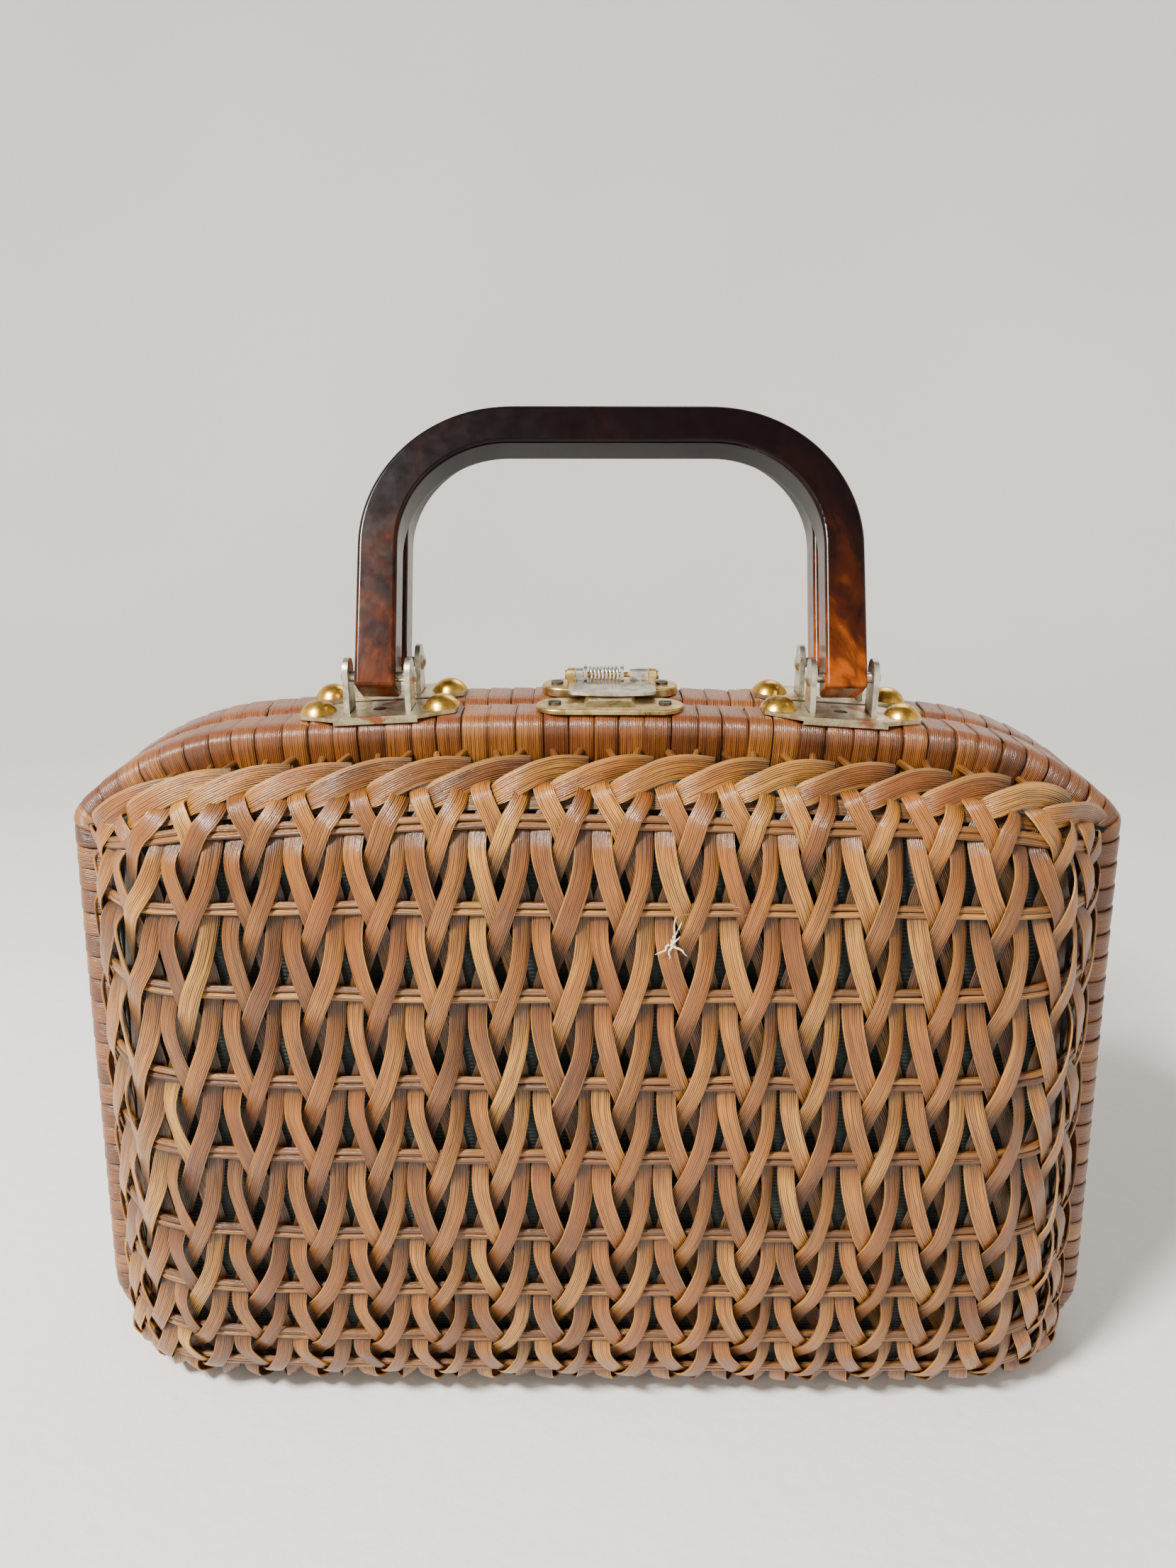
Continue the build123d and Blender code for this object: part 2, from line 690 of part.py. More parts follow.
def make_hinges():
    half_length = leaf_length / 2
    centre = hinge_centre_knuckle / 2
    inner_spans = ((-centre, centre),)
    outer_spans = (
        (-half_length, -centre - hinge_knuckle_gap),
        (centre + hinge_knuckle_gap, half_length),
    )
    pins = []
    for side, sign in sides.items():
        x = sign * hinge_spacing / 2
        parts[f"front_{side}_hinge_leaf"] = hinge_leaf(x, outer_spans, inner_spans)
        parts[f"rear_{side}_hinge_leaf"] = rear_copy(hinge_leaf(x, inner_spans, outer_spans))
        pin = cross_rod(hinge_pin_diameter, -half_length, half_length)
        pins.append(Pos(x, 0, hinge_axis_height) * pin)
    parts["hinge_pins"] = Compound(children=pins)
    screws = []
    for x, out in hinge_screw_places():
        one = screw(hinge_screw_head, leaf_thickness, 0)
        screws.append(Pos(x, -out, 0) * Rot(180, 0, 0) * one)
    parts["front_hinge_screws"] = Compound(children=screws)
    parts["rear_hinge_screws"] = Compound(children=[rear_copy(one) for one in screws])


make_rims()
make_trays()
make_handle_fittings()
make_clasp()
make_hinges()

os.makedirs("parts", exist_ok=True)
for name, shape in parts.items():
    export_step(shape, f"parts/{name}.step")
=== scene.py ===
"""Looks of the clamshell basket box bag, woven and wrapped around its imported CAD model.

Lengths in the weaving code are millimetres, in the frame's own axes: +Z up, the front half
on -Y. Each mesh is scaled to metres when it is made.
"""

import json
import math
import random

import bmesh
import bpy
import numpy as np
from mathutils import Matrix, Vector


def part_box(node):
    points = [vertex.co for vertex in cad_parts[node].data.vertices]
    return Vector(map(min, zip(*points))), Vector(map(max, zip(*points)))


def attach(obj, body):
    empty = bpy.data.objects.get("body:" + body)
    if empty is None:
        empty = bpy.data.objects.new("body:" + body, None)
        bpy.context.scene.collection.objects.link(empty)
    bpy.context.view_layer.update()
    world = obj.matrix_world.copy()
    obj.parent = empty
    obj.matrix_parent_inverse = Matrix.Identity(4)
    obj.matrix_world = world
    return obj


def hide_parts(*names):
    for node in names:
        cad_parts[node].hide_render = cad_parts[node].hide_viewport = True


MM = 0.001

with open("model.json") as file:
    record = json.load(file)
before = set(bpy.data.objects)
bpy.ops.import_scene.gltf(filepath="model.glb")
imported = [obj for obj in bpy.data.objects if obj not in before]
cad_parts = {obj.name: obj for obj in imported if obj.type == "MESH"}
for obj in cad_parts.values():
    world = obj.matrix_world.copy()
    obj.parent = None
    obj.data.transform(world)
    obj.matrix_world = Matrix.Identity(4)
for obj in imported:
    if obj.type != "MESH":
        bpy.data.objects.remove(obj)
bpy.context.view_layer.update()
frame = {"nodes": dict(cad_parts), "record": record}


def box_mm(node):
    """Lowest and highest corner of a CAD node, in millimetres."""
    low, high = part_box(node)
    return np.array(low) / MM, np.array(high) / MM


# ---- sizes read from the frame ---------------------------------------------------------
RIM_LOW, RIM_HIGH = box_mm("front_rim_wrapping")
RIM_TOP = RIM_HIGH[2]
RIM_BOTTOM = RIM_LOW[2]
RIM_FACE = -RIM_LOW[1]               # front face of the rim, out from the parting plane
PARTING = -RIM_HIGH[1]

# ---- outline of the body, as the rim is built ------------------------------------------
HALF_TOP = 156.75
HALF_BOTTOM = 166.5
CROWN_HALF = 103.0
CROWN_SAG = 4.5
CORNER_DROP = 30.5
TOP_CORNER_RADIUS = 8.0
BOTTOM_CORNER_RADIUS = 22.0
TRAY_CORNER_RADIUS = 10.0
RIM_HEIGHT = 17.3
RIM_EDGE_RADIUS = 5.5
CROWN_RADIUS = (CROWN_HALF**2 + CROWN_SAG**2) / (2 * CROWN_SAG)

# ---- weave -----------------------------------------------------------------------------
FACE_COLUMNS = 14
SIDE_COLUMNS = 3
PITCH_TOP = 16.8                     # column spacing high on the face
PITCH_BOTTOM = 18.8                  # and low down
PITCH_TOP_Z = 200.0
PITCH_BOTTOM_Z = 40.0
STRIP_WIDTH = 5.4
ROD_RADIUS = 1.05
BORDER_WIDTH = 7.0
STAKE_RADIUS = 1.05
WRAP_PITCH = 7.5


# ---- small helpers ---------------------------------------------------------------------

def unit(v):
    """Vectors scaled to length one, along the last axis."""
    return v / np.maximum(np.linalg.norm(v, axis=-1, keepdims=True), 1e-9)


def distance_along(path):
    """Distance from the first point of a path (n, k) to each of its points."""
    return np.concatenate([[0], np.cumsum(np.linalg.norm(np.diff(path, axis=0), axis=1))])


def blur(values, reach):
    """Running mean along the first axis, over reach samples each side."""
    if reach < 1:
        return values
    kernel = np.ones(2 * reach + 1) / (2 * reach + 1)
    flat = values.reshape(len(values), -1)
    padded = np.pad(flat, ((reach, reach), (0, 0)), mode="edge")
    columns = [np.convolve(padded[:, k], kernel, mode="valid") for k in range(flat.shape[1])]
    return np.stack(columns, axis=1).reshape(values.shape)


def link(thing):
    """Puts an object in the scene and returns it."""
    bpy.context.scene.collection.objects.link(thing)
    return thing


def turn_normals_out(mesh):
    """Turns every face of a closed mesh to the outside."""
    shape = bmesh.new()
    shape.from_mesh(mesh)
    bmesh.ops.recalc_face_normals(shape, faces=shape.faces)
    shape.to_mesh(mesh)
    shape.free()


class Builder:
    """Collects strips, rods and sheets into one mesh.

    Its UV map "grain" is the place across and along each strip in mm. The attribute "tone" is
    each strip's own number from 0 to 1. A third attribute is 1 where a strip lies in the open and
    0 where it is tucked under others; it sets how much painted shade darkens the strip.
    """

    def __init__(self):
        self.points = []
        self.faces = []
        self.grain = []
        self.tones = []
        self.unshaded = []
        self.count = 0

    def loft(self, rings, across, along, tone, closed=False, unshaded=1.0):
        """Quads between rings (n, k, 3); across and along spread over them as the grain."""
        n, k = rings.shape[:2]
        index = self.count + np.arange(n * k).reshape(n, k)
        near = index if closed else index[:-1]
        far = np.roll(index, -1, axis=0) if closed else index[1:]
        quads = np.stack([near, np.roll(near, -1, 1), np.roll(far, -1, 1), far], axis=-1)
        self.faces.append(quads.reshape(-1, 4))
        if not closed:
            self.caps(index[0][::-1])
            self.caps(index[-1])
        self.points.append(rings.reshape(-1, 3))
        grain = [np.broadcast_to(values, (n, k)).ravel() for values in (across, along)]
        self.grain.append(np.stack(grain, axis=1))
        self.tones.append(np.full(n * k, tone))
        self.unshaded.append(np.repeat(np.broadcast_to(unshaded, (n,)), k))
        self.count += n * k

    def caps(self, loop):
        """Close a ring of an even number of points with quads."""
        k = len(loop)
        for i in range(k // 2 - 1):
            quad = [loop[i], loop[i + 1], loop[k - 2 - i], loop[k - 1 - i]]
            self.faces.append(np.array([quad]))

    def sheet(self, outer, inner, grain):
        """Two layers of cloth (rows, columns, 3) closed along their edges."""
        rows, columns = outer.shape[:2]
        layer = rows * columns
        index = self.count + np.arange(layer).reshape(rows, columns)
        quads = np.stack([index[:-1, :-1], index[:-1, 1:], index[1:, 1:], index[1:, :-1]], axis=-1)
        quads = quads.reshape(-1, 4)
        loop = np.concatenate([index[0, :-1], index[:-1, -1], index[-1, :0:-1], index[:0:-1, 0]])
        after = np.roll(loop, -1)
        edge = np.stack([after, loop, loop + layer, after + layer], axis=-1)
        self.faces += [quads, quads[:, ::-1] + layer, edge]
        self.points += [outer.reshape(-1, 3), inner.reshape(-1, 3)]
        self.grain += [grain, grain]
        self.tones.append(np.zeros(2 * layer))
        self.unshaded.append(np.ones(2 * layer))
        self.count += 2 * layer

    def make(self, name, material, mirrored=False, sharp=50.0):
        """The collected mesh as an object; mirrored turns front into rear."""
        points = np.concatenate(self.points) * MM
        faces = np.concatenate(self.faces)
        if mirrored:
            points = points * np.array([1.0, -1.0, 1.0])
            faces = faces[:, ::-1]
        mesh = bpy.data.meshes.new(name)
        mesh.vertices.add(len(points))
        mesh.vertices.foreach_set("co", points.astype(np.float32).ravel())
        mesh.loops.add(faces.size)
        mesh.loops.foreach_set("vertex_index", faces.astype(np.int32).ravel())
        mesh.polygons.add(len(faces))
        mesh.polygons.foreach_set("loop_start", np.arange(0, faces.size, 4, dtype=np.int32))
        mesh.update(calc_edges=True)
        mesh.polygons.foreach_set("use_smooth", np.ones(len(faces), dtype=bool))
        uv = mesh.uv_layers.new(name="grain")
        grain = np.concatenate(self.grain)[faces.ravel()]
        uv.data.foreach_set("uv", grain.astype(np.float32).ravel())
        for attribute, values in (("tone", self.tones), ("unshaded", self.unshaded)):
            data = mesh.attributes.new(attribute, "FLOAT", "POINT").data
            data.foreach_set("value", np.concatenate(values).astype(np.float32))
        turn_normals_out(mesh)
        mesh.set_sharp_from_angle(angle=math.radians(sharp))
        mesh.materials.append(material)
        return link(bpy.data.objects.new(name, mesh))


# Section of a flat cane strip: across (share of the width) and height (mm), top then back.
STRIP_ACROSS = np.array([-0.5, -0.43, -0.22, 0.0, 0.22, 0.43, 0.5, 0.47, 0.0, -0.47])
STRIP_RISE = np.array([-0.2, -0.01, 0.1, 0.13, 0.1, -0.01, -0.2, -0.6, -0.5, -0.6])


def add_strip(builder, path, normal, width, tone, tilt=0.0, start=0.0, unshaded=1.0):
    """Flat cane along a path (n, 3), with its broad face along normal (n, 3)."""
    tangent = unit(np.gradient(path, axis=0))
    side = unit(np.cross(tangent, normal))
    face = unit(np.cross(side, tangent))
    tilt = np.broadcast_to(np.radians(tilt), (len(path),))[:, None]
    lean_side = side * np.cos(tilt) + face * np.sin(tilt)
    lean_face = face * np.cos(tilt) - side * np.sin(tilt)
    width = np.broadcast_to(width, (len(path),))
    across = width[:, None] * STRIP_ACROSS[None, :]
    rings = (
        path[:, None, :]
        + lean_side[:, None, :] * across[:, :, None]
        + lean_face[:, None, :] * STRIP_RISE[None, :, None]
    )
    along = (distance_along(path) + start)[:, None]
    builder.loft(rings, across, along, tone, unshaded=unshaded)


def add_rod(builder, path, radius, tone, sides=8):
    """Round cane along a path (n, 3)."""
    tangent = unit(np.gradient(path, axis=0))
    helper = np.where(np.abs(tangent[:, 2:3]) > 0.9, [[1.0, 0.0, 0.0]], [[0.0, 0.0, 1.0]])
    side = unit(np.cross(tangent, helper))
    up = np.cross(side, tangent)
    angle = np.arange(sides) * 2 * math.pi / sides
    radius = np.broadcast_to(radius, (len(path),))
    rings = path[:, None, :] + radius[:, None, None] * (
        side[:, None, :] * np.cos(angle)[None, :, None] + up[:, None, :] * np.sin(angle)[None, :, None]
    )
    across = np.abs(angle - math.pi) * np.mean(radius)
    builder.loft(rings, across, distance_along(path)[:, None], tone)


# ---- outline of the body ---------------------------------------------------------------

def corner_arc(corner, before, after, radius, count):
    """Rounds a corner between the directions to the points before and after it."""
    corner = np.array(corner)
    to_before = unit(np.array(before) - corner)
    to_after = unit(np.array(after) - corner)
    half = math.acos(float(np.clip(np.dot(to_before, to_after), -1, 1))) / 2
    centre = corner + unit(to_before + to_after) * radius / math.sin(half)
    first = corner + to_before * radius / math.tan(half) - centre
    turn = math.pi - 2 * half
    way = math.copysign(1.0, first[0] * to_before[1] - first[1] * to_before[0])
    steps = np.linspace(0, turn, count) * -way
    x = first[0] * np.cos(steps) - first[1] * np.sin(steps)
    z = first[0] * np.sin(steps) + first[1] * np.cos(steps)
    return np.stack([x, z], axis=1) + centre


def body_outline():
    """Half of the outline, from the middle of the base up the right side to the crown."""
    corner = np.array([HALF_TOP, RIM_TOP - CORNER_DROP])
    low = np.array([HALF_BOTTOM, RIM_BOTTOM])
    shoulder = np.array([CROWN_HALF, RIM_TOP - CROWN_SAG])
    slope = math.asin(CROWN_HALF / CROWN_RADIUS)
    chord = corner - shoulder
    turn = -math.atan2(chord[1], chord[0]) - slope
    radius = np.linalg.norm(chord) / (2 * math.sin(turn))
    centre = shoulder - radius * np.array([math.sin(slope), math.cos(slope)])
    angle = np.linspace(slope + 2 * turn, slope, 40)
    arc = centre + radius * np.stack([np.sin(angle), np.cos(angle)], axis=1)
    x = np.linspace(CROWN_HALF, 0, 60)
    crown = np.stack([x, RIM_TOP - CROWN_RADIUS + np.sqrt(CROWN_RADIUS**2 - x**2)], axis=1)
    low_arc = corner_arc(low, [0, RIM_BOTTOM], corner, BOTTOM_CORNER_RADIUS, 16)
    top_arc = corner_arc(corner, low, arc[2], TOP_CORNER_RADIUS, 8)
    side = np.linspace(low_arc[-1], top_arc[0], 60)
    base = np.linspace([0, RIM_BOTTOM], low_arc[0], 60)
    keep = arc[arc[:, 0] < top_arc[-1, 0]]
    return np.concatenate([base[:-1], low_arc[:-1], side[:-1], top_arc, keep[:-1], crown])


class Outline:
    """The whole closed outline by arc length, with normals that turn gently at corners."""

    STEP = 1.0
    NORMAL_REACH = 9
    OVERLAP = 40

    def __init__(self):
        """Samples the outline about every STEP mm."""
        right = body_outline()
        left = right[::-1] * np.array([-1.0, 1.0])
        loop = np.concatenate([right, left[1:]])
        length = distance_along(loop)
        self.total = length[-1]
        count = int(self.total / self.STEP)
        self.s = np.arange(count) * self.total / count
        x = np.interp(self.s, length, loop[:, 0])
        z = np.interp(self.s, length, loop[:, 1])
        self.xz = np.stack([x, z], axis=1)
        tangent = unit(np.roll(self.xz, -1, 0) - np.roll(self.xz, 1, 0))
        normal = np.stack([tangent[:, 1], -tangent[:, 0]], axis=1)
        wide = np.concatenate([normal[-self.OVERLAP:], normal, normal[:self.OVERLAP]])
        self.normal = unit(blur(wide, self.NORMAL_REACH)[self.OVERLAP:-self.OVERLAP])

    def at(self, s):
        """Points and normals (X, Z) at these arc lengths."""
        s = np.mod(s, self.total)
        position = s / self.total * len(self.s)
        low = np.floor(position).astype(int) % len(self.s)
        high = (low + 1) % len(self.s)
        part = (position - np.floor(position))[..., None]
        xz = self.xz[low] * (1 - part) + self.xz[high] * part
        normal = unit(self.normal[low] * (1 - part) + self.normal[high] * part)
        return xz, normal


OUTLINE = Outline()
# The right half of the outline above its corner, from the middle of the crown outwards.
TOP_EDGE = np.array([p for p in body_outline()[::-1] if p[1] > RIM_TOP - CORNER_DROP - 2])


def crown_drop(x):
    """How far the outline's top lies below its middle, at x."""
    return RIM_TOP - np.interp(np.abs(x), TOP_EDGE[:, 0], TOP_EDGE[:, 1])


# ---- the tray's woven surface ----------------------------------------------------------

# Middle section of the tray from the rim over the top edge, down the face and back under:
# distance out from the rim and height above the base of the rim.
SECTION = np.array([
    [-1.5, 207.2], [6.0, 209.6], [12.0, 211.0], [17.5, 210.2], [22.5, 206.4], [27.0, 199.0],
    [29.8, 184.0], [31.4, 160.0], [32.0, 125.0], [32.0, 90.0], [31.5, 62.0], [30.0, 40.0],
    [28.2, 23.0], [24.0, 10.0], [15.5, 4.8], [6.0, 4.2], [-1.5, 4.8],
])
# How far in from the rim's outline the side walls are, as they come out from the rim.
SIDE_IN = np.array([8.5, 12.0, 18.0, 25.0, 32.0, 40.0, 50.0, 70.0, 110.0])
SIDE_OUT = np.array([-1.5, 6.0, 15.5, 23.5, 28.5, 31.0, 32.3, 33.2, 33.6])
SIDE_FULL = 31.9                      # the middle section's own reach, for the ratio
ARCH_FOOT = 165.0                     # below this height the rows are level
ARCH_SHARE = 0.97                     # how much of the crown's curve the top row has
TRAY_TOP = RIM_TOP - 11.4
SECTION_SAMPLES = 400
SECTION_BLUR = 14
SIDE_SAMPLES = 300
SIDE_BLUR = 8

# Heights of the round pairs on the middle section, from the border down to the rim.
ROW_HEIGHTS_FACE = np.array([210.6, 199.9, 176.3, 150.2, 123.0, 97.9, 71.0, 49.0, 30.0])
ROWS_BELOW = 3
BORDER_OUT = 18.5                     # middle of the border, out from the rim
RIM_COLUMN = 9.15                     # column coordinate at which the sides meet the rim
EDGE_COLUMN = 9.1                     # and where rods, band and lining end


class Tray:
    """Maps a column coordinate, a distance down the section and a height to a place."""

    PROBE = 0.4                       # mm either way, to measure the surface's slope
    PROBE_COLUMN = PROBE / 17

    def __init__(self):
        """Smooths the section and the side wall, and places the rows on the section."""
        dense = np.linspace(0, len(SECTION) - 1, SECTION_SAMPLES)
        knots = np.arange(len(SECTION))
        raw = np.stack([np.interp(dense, knots, SECTION[:, k]) for k in (0, 1)], axis=1)
        raw = blur(raw, SECTION_BLUR)
        self.down = distance_along(raw)
        self.section = raw
        self.length = self.down[-1]
        face = raw[:, 1]
        start = np.argmin(np.abs(raw[:SECTION_SAMPLES // 2, 0] - BORDER_OUT))
        self.rows = [self.down[start]]
        for height in ROW_HEIGHTS_FACE[1:]:
            falling = np.arange(len(face)) > start
            nearest = np.argmin(np.where(falling, np.abs(face - height), 1e9))
            self.rows.append(self.down[nearest])
        below = np.linspace(self.rows[-1], self.length, ROWS_BELOW + 1)[1:]
        self.rows = np.concatenate([self.rows, below])
        side = np.linspace(0, len(SIDE_IN) - 1, SIDE_SAMPLES)
        knots = np.arange(len(SIDE_IN))
        self.side_in = blur(np.interp(side, knots, SIDE_IN), SIDE_BLUR)[::-1]
        self.side_out = blur(np.interp(side, knots, SIDE_OUT), SIDE_BLUR)[::-1]
        step = np.hypot(np.diff(self.side_in), np.diff(self.side_out))
        self.side_run = np.concatenate([[0], np.cumsum(step)])

    def row_down(self, row):
        """Distance down the section at a row number, which need not be whole."""
        return np.interp(row, np.arange(len(self.rows)), self.rows)

    def place(self, column, down, rise):
        """Point for arrays of column coordinate, distance down the section and height."""
        point, normal = self.base(column, down)
        return point + normal * np.asarray(rise)[..., None]

    def base(self, column, down):
        """Surface point and outward normal."""
        lower = self.raw(column, down + self.PROBE)
        upper = self.raw(column, down - self.PROBE)
        right = self.raw(column + self.PROBE_COLUMN, down)
        left = self.raw(column - self.PROBE_COLUMN, down)
        return self.raw(column, down), unit(np.cross(lower - upper, right - left))

    def raw(self, column, down):
        """Surface point, without its normal."""
        column, down = np.broadcast_arrays(np.asarray(column, float), np.asarray(down, float))
        out = np.interp(down, self.down, self.section[:, 0])
        height = np.interp(down, self.down, self.section[:, 1])
        beyond_face = np.maximum(np.abs(column) - FACE_COLUMNS / 2, 0)
        run = np.abs(column) * self.pitch(height) + beyond_face * self.side_stretch(height)
        half = self.half_width(height)
        flat = half - self.side_in[0]
        x_in = np.interp(run - flat, self.side_run, self.side_in)
        x = np.where(run < flat, run, half - x_in)
        full = np.interp(run - flat, self.side_run, self.side_out)
        ratio = np.where(run < flat, self.side_out[0], full) / SIDE_FULL
        y = np.where(out < 0, out, out * ratio)
        arch = TRAY_TOP - ARCH_FOOT
        squeeze = (arch - crown_drop(x) * ARCH_SHARE) / arch
        high = np.maximum(height - ARCH_FOOT, 0)
        z = np.minimum(height, ARCH_FOOT) + high * squeeze
        return np.stack([np.copysign(x, column), -(RIM_FACE + y), z], axis=-1)

    def side_stretch(self, height):
        """Extra spacing of the side columns at this height, so that they end at the rim."""
        full = self.half_width(height) - self.side_in[0] + self.side_run[-1]
        return (full - RIM_COLUMN * self.pitch(height)) / (RIM_COLUMN - FACE_COLUMNS / 2)

    @staticmethod
    def pitch(height):
        """Spacing of the columns at this height."""
        share = (PITCH_TOP_Z - height) / (PITCH_TOP_Z - PITCH_BOTTOM_Z)
        return PITCH_TOP + (PITCH_BOTTOM - PITCH_TOP) * np.clip(share, -0.1, 1.1)

    @staticmethod
    def half_width(height):
        """Half width of the rim's outline at this height."""
        share = (RIM_TOP - CORNER_DROP - height) / (RIM_TOP - CORNER_DROP - RIM_BOTTOM)
        straight = HALF_TOP + (HALF_BOTTOM - HALF_TOP) * np.clip(share, 0, 1)
        low = np.clip(TRAY_CORNER_RADIUS - (height - RIM_BOTTOM), 0, TRAY_CORNER_RADIUS)
        bite = TRAY_CORNER_RADIUS - np.sqrt(TRAY_CORNER_RADIUS**2 - low**2)
        return straight - bite


TRAY = Tray()


# ---- woven strips ----------------------------------------------------------------------

# One strand of the flat plait over four rows: row, offset in column pitches, height in mm.
PLAIT = np.array([
    [0.00, -0.35, -0.8], [0.12, -0.36, 0.6], [0.26, -0.37, 2.2], [0.38, -0.36, 3.1],
    [0.52, -0.31, 3.1], [0.74, -0.23, 2.6], [0.96, -0.13, 2.4], [1.10, -0.06, 1.8],
    [1.25, 0.02, 0.8], [1.40, 0.09, 0.1], [1.65, 0.22, -0.5], [2.00, 0.34, -0.8],
    [2.15, 0.36, 0.4], [2.40, 0.35, 1.9], [2.64, 0.30, 2.6], [2.84, 0.21, 3.1],
    [3.00, 0.13, 3.4], [3.16, 0.05, 3.1], [3.28, -0.01, 2.2], [3.40, -0.07, 1.2],
    [3.52, -0.13, 0.4], [3.70, -0.22, -0.1], [4.00, -0.35, -0.8],
])
# Twist of the strand in degrees; its left edge is lifted where this is positive.
TWIST = np.array([
    [0.0, 0.0], [0.3, -14.0], [0.8, -12.0], [1.2, 0.0], [2.0, 10.0], [2.4, 34.0], [2.8, 18.0],
    [3.1, 6.0], [3.5, -6.0], [4.0, 0.0],
])
TUCKED_RISE = 0.2                     # a strand this low is out of the light
CLEAR_RISE = 2.6
STRANDS = 4
RINGS_PER_ROW = 9
# Where a strand first shows under the border, by its place in the plait there.
FIRST_SHOW = {0: 0.1, 1: 0.65, 2: 0.1, 3: 0.7}


def wander(rng, count, size, reach):
    """Smooth random drift of about this size, over count samples."""
    raw = np.array([rng.gauss(0, 1) for _ in range(count + 2 * reach)])
    kernel = np.hanning(2 * reach + 1)
    smooth = np.convolve(raw, kernel / np.sqrt((kernel**2).sum()), mode="valid")
    return smooth[:count] * size


def add_strand(builder, rng, column, strand):
    """One strand of a column's plait, from the border to the rim under the tray."""
    last = len(TRAY.rows) - 1
    place_at_border = -strand % STRANDS
    rows = np.arange(FIRST_SHOW[place_at_border], last + 0.001, 1 / RINGS_PER_ROW)
    phase = np.mod(rows - strand, STRANDS)
    offset = blur(np.interp(phase, PLAIT[:, 0], PLAIT[:, 1]), 1)
    rise = blur(np.interp(phase, PLAIT[:, 0], PLAIT[:, 2]), 1)
    offset = offset * rng.uniform(0.95, 1.04) + wander(rng, len(rows), 0.012, 9)
    rise = rise + wander(rng, len(rows), 0.14, 7)
    drift = wander(rng, len(rows), 0.02, 6)
    down = TRAY.row_down(rows + drift)
    point, normal = TRAY.base(column + offset, down)
    path = point + normal * rise[:, None]
    width = STRIP_WIDTH * rng.uniform(0.9, 1.08) + wander(rng, len(rows), 0.12, 8)
    lift = np.interp(phase, TWIST[:, 0], TWIST[:, 1])
    tilt = blur(lift, 1) * rng.uniform(0.5, 1.3) + wander(rng, len(rows), 3.0, 8)
    # Painted shade: the lower a strand lies in the plait, the darker the material paints it.
    unshaded = np.clip((rise - TUCKED_RISE) / (CLEAR_RISE - TUCKED_RISE), 0, 1)
    add_strip(builder, path, normal, width, rng.random(), tilt, rng.uniform(0, 400), unshaded)


def weave(half, seed, mirrored, material):
    """All the plaited columns of one tray."""
    rng = random.Random(seed)
    builder = Builder()
    columns = FACE_COLUMNS // 2 + SIDE_COLUMNS - 1
    for column in np.arange(-columns + 0.5, columns):
        lean = rng.gauss(0, 0.02)
        for strand in range(STRANDS):
            add_strand(builder, rng, column + lean, strand)
    return builder.make(f"{half}_cane_plait", material, mirrored)


# Splintered bit of cane on the front: where it starts, and its tips as column, row and height.
FRAY_PLACE = (1.22, 2.36)
FRAY_HEIGHT = 3.1
FRAY_TIPS = [
    (-0.24, 0.10, 3.8), (0.05, -0.34, 5.0), (0.16, -0.28, 4.2), (0.26, 0.12, 3.6),
    (-0.05, 0.14, 4.4), (0.10, -0.12, 4.9),
]
FRAY_RINGS = 10
FRAY_SEED = 5


def frays(material):
    """Pale fibres that stand up from a splintered strip."""
    rng = random.Random(FRAY_SEED)
    builder = Builder()
    t = np.linspace(0, 1, FRAY_RINGS)
    for column, row, height in FRAY_TIPS:
        down = TRAY.row_down(FRAY_PLACE[1] + row * t)
        rise = FRAY_HEIGHT + (height - FRAY_HEIGHT) * t + 0.5 * np.sin(math.pi * t)
        across = FRAY_PLACE[0] + column * t + wander(rng, FRAY_RINGS, 0.02, 3)
        radius = 0.3 * (1 - t) ** 0.6 + 0.06
        add_rod(builder, TRAY.place(across, down, rise), radius, rng.random(), sides=6)
    return builder.make("front_cane_frays", material, sharp=60.0)


ROD_SPACING = 2.1
ROD_POINTS = 94
ROD_RISE = 0.7
BAND_ROW = 0.52                       # row of the flat band behind the border
BAND_WIDTH = 4.6
BAND_DEPTH = 0.3


def rods(half, seed, mirrored, material):
    """Pairs of round cane that every column is plaited over, and a flat band above them."""
    rng = random.Random(seed)
    builder = Builder()
    column = np.linspace(-EDGE_COLUMN, EDGE_COLUMN, ROD_POINTS)
    for row in range(1, len(TRAY.rows) - 1):
        drift = wander(rng, ROD_POINTS, 0.25, 9)
        for place in (-0.5, 0.5):
            down = TRAY.rows[row] + place * ROD_SPACING + drift + wander(rng, ROD_POINTS, 0.1, 5)
            rise = ROD_RISE + wander(rng, ROD_POINTS, 0.15, 5)
            path = TRAY.place(column, down, rise)
            add_rod(builder, path, ROD_RADIUS * rng.uniform(0.92, 1.06), rng.random())
    point, normal = TRAY.base(column, TRAY.row_down(BAND_ROW))
    path = point - normal * BAND_DEPTH
    # The band behind the border is darkened with painted shade.
    add_strip(builder, path, normal, BAND_WIDTH, rng.random(), unshaded=0.4)
    return builder.make(f"{half}_cane_rods", material, mirrored, sharp=60.0)


# Border strip over one column: column from the strip's own, distance down the section from
# the first row, height in mm, and roll in degrees that turns its face to the front.
BORDER_PATH = np.array([
    [-0.80, 5.6, -0.4, 0], [-0.70, 5.4, 1.4, -8], [-0.58, 5.0, 2.8, -20], [-0.36, 3.6, 3.4, -34],
    [-0.10, 1.8, 3.5, -44], [0.18, 0.0, 3.4, -50], [0.44, -1.6, 3.0, -54],
    [0.70, -2.8, 2.3, -56], [0.98, -3.6, 1.2, -56],
])
BORDER_RINGS = 26
BORDER_ARCH = 1.1                     # how much higher every other strip stands


